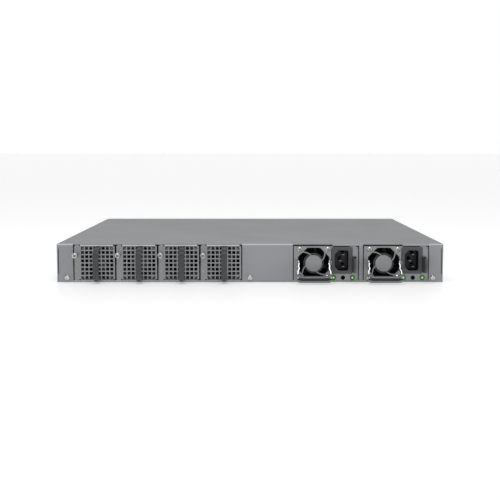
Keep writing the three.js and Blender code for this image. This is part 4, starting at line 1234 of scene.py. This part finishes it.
    def dimple_shades(self) -> tuple[Array, list]:
        """Small dark grey discs beside the guard and in the right-hand corners: painted shade of a stamped dimple each.
        """
        profile = [(0, -0.05), (0.5, -0.05), (0.6, 0.1), (0, 0.1)]
        return joined(*[revolve(profile, (self.low.x + u * MM, self.low.y, v * MM), 16)
                        for u, v in self.dimple_spots])

    def bail_bar(self) -> tuple[Array, list]:
        """The bail's crossbar: a strip with a groove along its front, which grows taller at its two round ends.

        Its section is drawn on (y, share of the height), and stretched between the bar's lower and upper edge.
        """
        low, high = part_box(self.node("psu_handle"))
        outline = np.array([
            (1.5, 1.0), (0.7, 0.99), (0.2, 0.95), (0.0, 0.88), (0.1, 0.7), (0.5, 0.66), (1.5, 0.6), (1.6, 0.36),
            (0.9, 0.33), (0.2, 0.3), (0.0, 0.24), (0.0, 0.1), (0.3, 0.03), (0.9, 0.0), (3.4, 0.0), (3.4, 0.12),
            (2.3, 0.16), (2.3, 0.9), (2.2, 1.0),
        ])
        width = (high.x - low.x) / 2
        share = np.array([-1, -0.985, -0.95, -0.9, -0.84, -0.76, -0.68, 0.68, 0.76, 0.84, 0.9, 0.95, 0.985, 1])
        edge = np.abs(share)
        lift = np.interp(edge, [0.84, 0.95, 1], [0, 0.6, 2.2]) * MM
        rise = np.interp(edge, [0.68, 0.76, 0.84, 0.95, 1], [0, 0.5, 1.5, 2.3, 1.6]) * MM
        bottom = low.z + lift
        top = low.z + 7.8 * MM + rise
        count = len(outline)
        points = [np.column_stack([np.full(count, x), low.y + outline[:, 0] * MM, b + outline[:, 1] * (t - b)])
                  for x, b, t in zip((low.x + high.x) / 2 + share * width, bottom, top)]
        faces = grid_faces(len(share), count).tolist()
        faces.append(list(range(count)))
        faces.append(list(range(len(share) * count - 1, (len(share) - 1) * count - 1, -1)))
        return outward(np.concatenate(points), faces)

    def bail_groove_shade(self) -> tuple[Array, list]:
        """A dark strip in the bar's groove: painted shade for the dark band along the bar."""
        low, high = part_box(self.node("psu_handle"))
        size = (high.x - low.x - 2.4 * MM, 1.2 * MM, 2.5 * MM)
        return soft_block(size, ((low.x + high.x) / 2, low.y + 0.85 * MM, low.z + 3.55 * MM), 0.3 * MM)

    def bail_arm(self, side: int) -> tuple[Array, list]:
        """One arm: a flat strip from the pivot's boss to the crossbar, jogged outwards on the way."""
        low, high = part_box(self.node("psu_handle"))
        centre = (low.x + high.x) / 2
        pivot = np.array([self.low.y - 4.3 * MM, 23 * MM])
        end = np.array([low.y + 1.6 * MM, low.z + 4.2 * MM])
        t = np.linspace(0, 1, 40)
        line = pivot + (end - pivot) * t[:, None]
        jog = np.interp(t, [0, 0.1, 0.2, 0.3, 0.4, 0.55, 1], [18.3, 16.6, 17.7, 17.7, 16.7, 18.5, 18.7])
        jog = np.convolve(np.pad(jog, 2, mode="edge"), np.full(5, 0.2), mode="valid")
        path = np.column_stack([centre + side * jog * MM, line])
        half = 2.3 * MM * (1 - 0.12 * np.sin(np.pi * t))
        section = soft_rectangle(1.0, 1.0, 0.2, 3)[None] * np.stack([np.full(40, 1.3 * MM), 2 * half], axis=-1)[:, None]
        across = np.array([0, *(end - pivot)[::-1]]) * np.array([0, -1, 1])
        across /= np.linalg.norm(across)
        strip = sweep(section, path, across)
        angle = np.linspace(0, 2 * np.pi, 28, endpoint=False)
        ring = np.stack([3.1 * MM * np.cos(angle), 3.1 * MM * np.sin(angle)], axis=-1)
        discs = []
        for shift in (-0.65, 0.65):
            discs.append(np.column_stack([np.full(28, centre + side * (17.65 + shift) * MM), ring + pivot]))
        faces = grid_faces(2, 28).tolist()
        faces.append(list(range(28)))
        faces.append(list(range(55, 27, -1)))
        boss = outward(np.concatenate(discs), faces)
        return joined(strip, boss)

    def tab(self) -> Mesh:
        """The latch's thumb tab: a rounded fin."""
        low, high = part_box(self.node("psu_latch"))
        length = 16.6 * MM
        height = high.z - low.z
        centre = (low.x + 1.7 * MM, low.y + length / 2, (low.z + high.z) / 2)
        outline = soft_rectangle(length, height, 3.6 * MM, 8)
        return stamped("tab", [outline], 2.6 * MM, 0.7 * MM, Plane.SIDE, centre)

    def ribs(self) -> tuple[Array, list]:
        """Four raised ribs on each side of the thumb tab."""
        low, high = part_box(self.node("psu_latch"))
        parts = []
        for side in (-1, 1):
            for step in range(4):
                y = low.y + (3.2 + 2.6 * step) * MM
                centre = (low.x + 1.7 * MM + side * 1.3 * MM, y, (low.z + high.z) / 2)
                parts.append(soft_block((0.7 * MM, 1.0 * MM, high.z - low.z - 5 * MM), centre, 0.2 * MM))
        return joined(*parts)

    def lamp(self, kind: str) -> None:
        """One status lamp: a dark green ring and a bright dome in it."""
        spot = middle(self.node(kind))
        at = (spot.x, self.low.y, spot.z + 0.35 * MM)
        ring = [(0, -0.3), (1.4, -0.3), (1.6, -0.5), (2.1, -0.6), (2.7, -0.45), (2.85, -0.1), (2.85, 0), (2.3, 0.1),
                (2.3, 5), (0, 5)]
        dome = [(0, -1.1), (0.6, -1.05), (1.0, -0.85), (1.3, -0.5), (1.4, -0.2), (0, -0.2)]
        surface_piece(f"{kind}_ring_{self.number}", revolve(ring, at, 32), Finish.LAMP_RING, self.body,
                      [self.node(kind)])
        surface_piece(f"{kind}_dome_{self.number}", revolve(dome, at, 32), Finish.PSU_GREEN, self.body)

    def build(self) -> None:
        """Makes the supply's pieces."""
        n = self.number
        dress_node(self.node("psu_case"), Finish.ZINC, 0.25 * MM)
        dress_node(self.node("psu_card_edge"), Finish.BOARD)
        place_piece(f"guard_sheet_{n}", self.guard(), Finish.ZINC, self.body, [self.node("psu_guard")])
        surface_piece(f"guard_ears_{n}", self.ears(), Finish.ZINC, self.body)
        spots = [(self.fan.x + side * self.screw_spot, self.fan.z + up * self.screw_spot)
                 for side in (-1, 1) for up in (-1, 1)]
        screws = [self.round_screw(x, z) for x, z in spots]
        surface_piece(f"guard_screws_{n}", joined(*screws), Finish.NICKEL, self.body)
        # The darker floors of the screw recesses are painted shade.
        recess_shades = [self.screw_recess_shade(x, z) for x, z in spots]
        surface_piece(f"guard_screw_recess_shades_{n}", joined(*recess_shades), Finish.STRIP, self.body)
        inlet = self.node("psu_inlet")
        place_piece(f"inlet_bezel_{n}", self.bezel(), Finish.BEZEL, self.body, [inlet])
        surface_piece(f"inlet_socket_{n}", self.socket(), Finish.BLACK, self.body)
        surface_piece(f"inlet_pins_{n}", self.pins(), Finish.STRIP, self.body)
        bail = f"psu_bail_{n}"
        arms = joined(self.bail_arm(-1), self.bail_arm(1))
        surface_piece(f"bail_arms_{n}", arms, Finish.BAIL, bail, [self.node("psu_handle")])
        surface_piece(f"bail_bar_{n}", self.bail_bar(), Finish.STRIP, bail)
        # The dark strip in the crossbar's groove is painted shade.
        surface_piece(f"bail_groove_shade_{n}", self.bail_groove_shade(), Finish.BLACK, bail)
        # Near-black pieces for the shade in the gaps and the holes: painted shade.
        surface_piece(f"supply_painted_shade_{n}", self.shade_fills(), Finish.PAINTED_SHADE, self.body)
        # Dark grey discs that paint the shade of small stamped dimples.
        surface_piece(f"supply_dimple_shades_{n}", self.dimple_shades(), Finish.BEZEL, self.body)
        catch = f"psu_catch_{n}"
        place_piece(f"latch_tab_{n}", self.tab(), Finish.BEZEL, catch)
        surface_piece(f"latch_ribs_{n}", self.ribs(), Finish.HANDLE, catch)
        dress_node(self.node("psu_latch"), Finish.HANDLE, 0.2 * MM)
        self.lamp("psu_lamp_left")
        self.lamp("psu_lamp_right")
        fan = AxialFan(self.node("psu_fan_frame"), self.node("psu_fan_rotor"), self.body, f"psu_fan_wheel_{n}",
                       hub=self.fan_hub)
        fan.build(f"supply_fan_{n}")


# ---- Chassis, ports and inside -------------------------------------------------------------------


@dataclass
class Chassis:
    """The painted sheet-metal box and the screws in its rear panel."""

    sheets: tuple[str, ...] = ("chassis_tray", "rear_panel", "front_panel")
    screw_sides: tuple[str, ...] = ("left", "middle", "right")
    fold: float = 0.8 * MM
    body: str = "chassis"

    def rear_screw(self, side: str) -> tuple[Array, list]:
        """A pan-head screw with a deep round recess."""
        spot = middle(f"rear_screw_{side}")
        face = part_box("rear_panel")[0].y
        profile = [
            (0, -0.5), (1.15, -0.55), (1.35, -1.6), (1.6, -1.75), (2.2, -1.6), (2.75, -1.15), (3.05, -0.5),
            (3.1, -0.1), (3.0, 0), (1.5, 0), (1.5, 5), (0, 5),
        ]
        return revolve(profile, (spot.x, face, spot.z), 48)

    def bay_shade_strips(self, number: int) -> tuple[Array, list]:
        """Near-black strips round a supply bay, a little behind the face, over the case and on both sides of it:
        painted shade in the gaps.
        """
        low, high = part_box(f"psu_case_{number}")
        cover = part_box("top_cover")[1].z - self.fold
        y = low.y + 2.5 * MM
        slit, thick, edge = 0.8 * MM, 1 * MM, 0.05 * MM
        slit_gap, slit_height, slit_middle = 0.55 * MM, 37 * MM, 22 * MM
        top = soft_block((high.x - low.x, thick, cover - high.z - 0.3 * MM),
                         ((low.x + high.x) / 2, y, (cover + high.z) / 2), edge)
        sides = [soft_block((slit, thick, slit_height), (x, y, slit_middle), edge)
                 for x in (low.x - slit_gap, high.x + slit_gap)]
        return joined(top, *sides)

    def build(self) -> None:
        """Makes the chassis's pieces."""
        for sheet in self.sheets:
            dress_node(sheet, Finish.PAINT, 0.3 * MM)
        folded_node("top_cover", Finish.PAINT, self.fold, self.body)
        for number in (1, 2):
            # Near-black strips in the gaps round each supply bay stand for the shade there.
            surface_piece(f"bay_painted_shade_{number}", self.bay_shade_strips(number), Finish.PAINTED_SHADE, self.body)
        for side in self.screw_sides:
            name = f"rear_screw_{side}"
            surface_piece(f"panel_screw_{side}", self.rear_screw(side), Finish.NICKEL, self.body,
                          [name])


@dataclass
class Inside:
    """What shows through openings or when a module is out: boards, heat sink, cages, guides."""

    finishes: dict[str, Finish] = field(default_factory=lambda: {
        "main_board": Finish.BOARD,
        "fan_board": Finish.BOARD,
        "switch_heat_sink": Finish.ALUMINIUM,
        "fan_bay_guide": Finish.ZINC,
        "psu_bay_cage": Finish.ZINC,
        "sfp_cage_left": Finish.CAGE,
        "sfp_cage_right": Finish.CAGE,
        "qsfp_cage": Finish.CAGE,
        "management_jack": Finish.BLACK,
    })

    def build(self) -> None:
        """Dresses the inner CAD nodes."""
        for node, finish in self.finishes.items():
            dress_node(node, finish)


# ---- Studio --------------------------------------------------------------------------------------


@dataclass
class Studio:
    """A white sweep, a softbox overhead, light from all round, and the camera."""

    distance: float = 1084.4 * MM
    eye_height: float = 152 * MM
    pitch_deg: float = 6.045
    lens: float = 68.67
    sensor: float = 36.0
    front: float = 0.85
    ceiling: float = 0.4

    def floor(self) -> None:
        """A wide flat floor just under the switch."""
        half = 30.0
        points = np.array([(-half, -half, 0), (half, -half, 0), (half, half, 0), (-half, half, 0)])
        mesh = new_mesh("floor", points, [(0, 1, 2, 3)], smooth=False)
        mesh.materials.append(Finish.FLOOR.material())
        made = bpy.data.objects.new("floor", mesh)
        bpy.context.scene.collection.objects.link(made)

    def softbox(self, name: str, place: Sequence[float], aim: Sequence[float], size: tuple[float, float],
                power: float) -> None:
        """One soft light, `size` wide and deep in metres, that looks at a point."""
        light = bpy.data.lights.new(name, "AREA")
        light.shape = "RECTANGLE"
        light.size, light.size_y = size
        light.energy = power
        made = bpy.data.objects.new(name, light)
        made.location = place
        direction = Vector(aim) - Vector(place)
        made.rotation_euler = direction.to_track_quat("-Z", "Y").to_euler()
        bpy.context.scene.collection.objects.link(made)

    def world(self) -> None:
        """A surround that is white behind the switch, dimmer in front of it and dimmest overhead.

        The strength goes by direction only: by its Y from front to back, and by its Z up to the ceiling.
        """
        surround = bpy.data.worlds.new("surround")
        surround.use_nodes = True
        tree = surround.node_tree
        axes = tree.nodes.new("ShaderNodeSeparateXYZ")
        tree.links.new(tree.nodes.new("ShaderNodeTexCoord").outputs["Generated"], axes.inputs[0])
        level: bpy.types.NodeSocket | None = None
        for axis, low, high, end in (("Y", 0.1, -0.3, self.front), ("Z", 0.3, 0.7, self.ceiling)):
            ramp = tree.nodes.new("ShaderNodeMapRange")
            tree.links.new(axes.outputs[axis], ramp.inputs["Value"])
            ramp.inputs["From Min"].default_value = low
            ramp.inputs["From Max"].default_value = high
            ramp.inputs["To Min"].default_value = 1.0
            ramp.inputs["To Max"].default_value = end
            if level is not None:
                tree.links.new(level, ramp.inputs["To Min"])
            level = ramp.outputs[0]
        background = tree.nodes["Background"]
        background.inputs["Color"].default_value = (1, 1, 1, 1)
        tree.links.new(level, background.inputs["Strength"])
        bpy.context.scene.world = surround

    def camera(self) -> None:
        """The camera, in front of the air-outlet side and a little above it."""
        data = bpy.data.cameras.new("camera")
        data.sensor_width = self.sensor
        data.lens = self.lens
        made = bpy.data.objects.new("camera", data)
        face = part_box("rear_panel")[0].y
        made.location = (0, face - self.distance, self.eye_height)
        made.rotation_euler = (math.radians(90 - self.pitch_deg), 0, 0)
        bpy.context.scene.collection.objects.link(made)
        bpy.context.scene.camera = made

    def build(self) -> None:
        """Sets up everything round the switch."""
        self.camera()
        self.floor()
        self.world()
        self.softbox("overhead", (0, -0.6, 1.35), (0, -0.19, 0.02), (1.0, 0.5), 5.6)
        bpy.context.scene.view_settings.view_transform = "Standard"


def main() -> None:
    """Builds the studio and every piece of the switch."""
    logging.basicConfig(level=logging.INFO, format="%(message)s")
    Studio().build()
    Chassis().build()
    Inside().build()
    for number in range(1, 5):
        FanModule(number).build()
    for number in range(1, 3):
        PowerSupply(number).build()


if __name__ == "__main__":
    main()
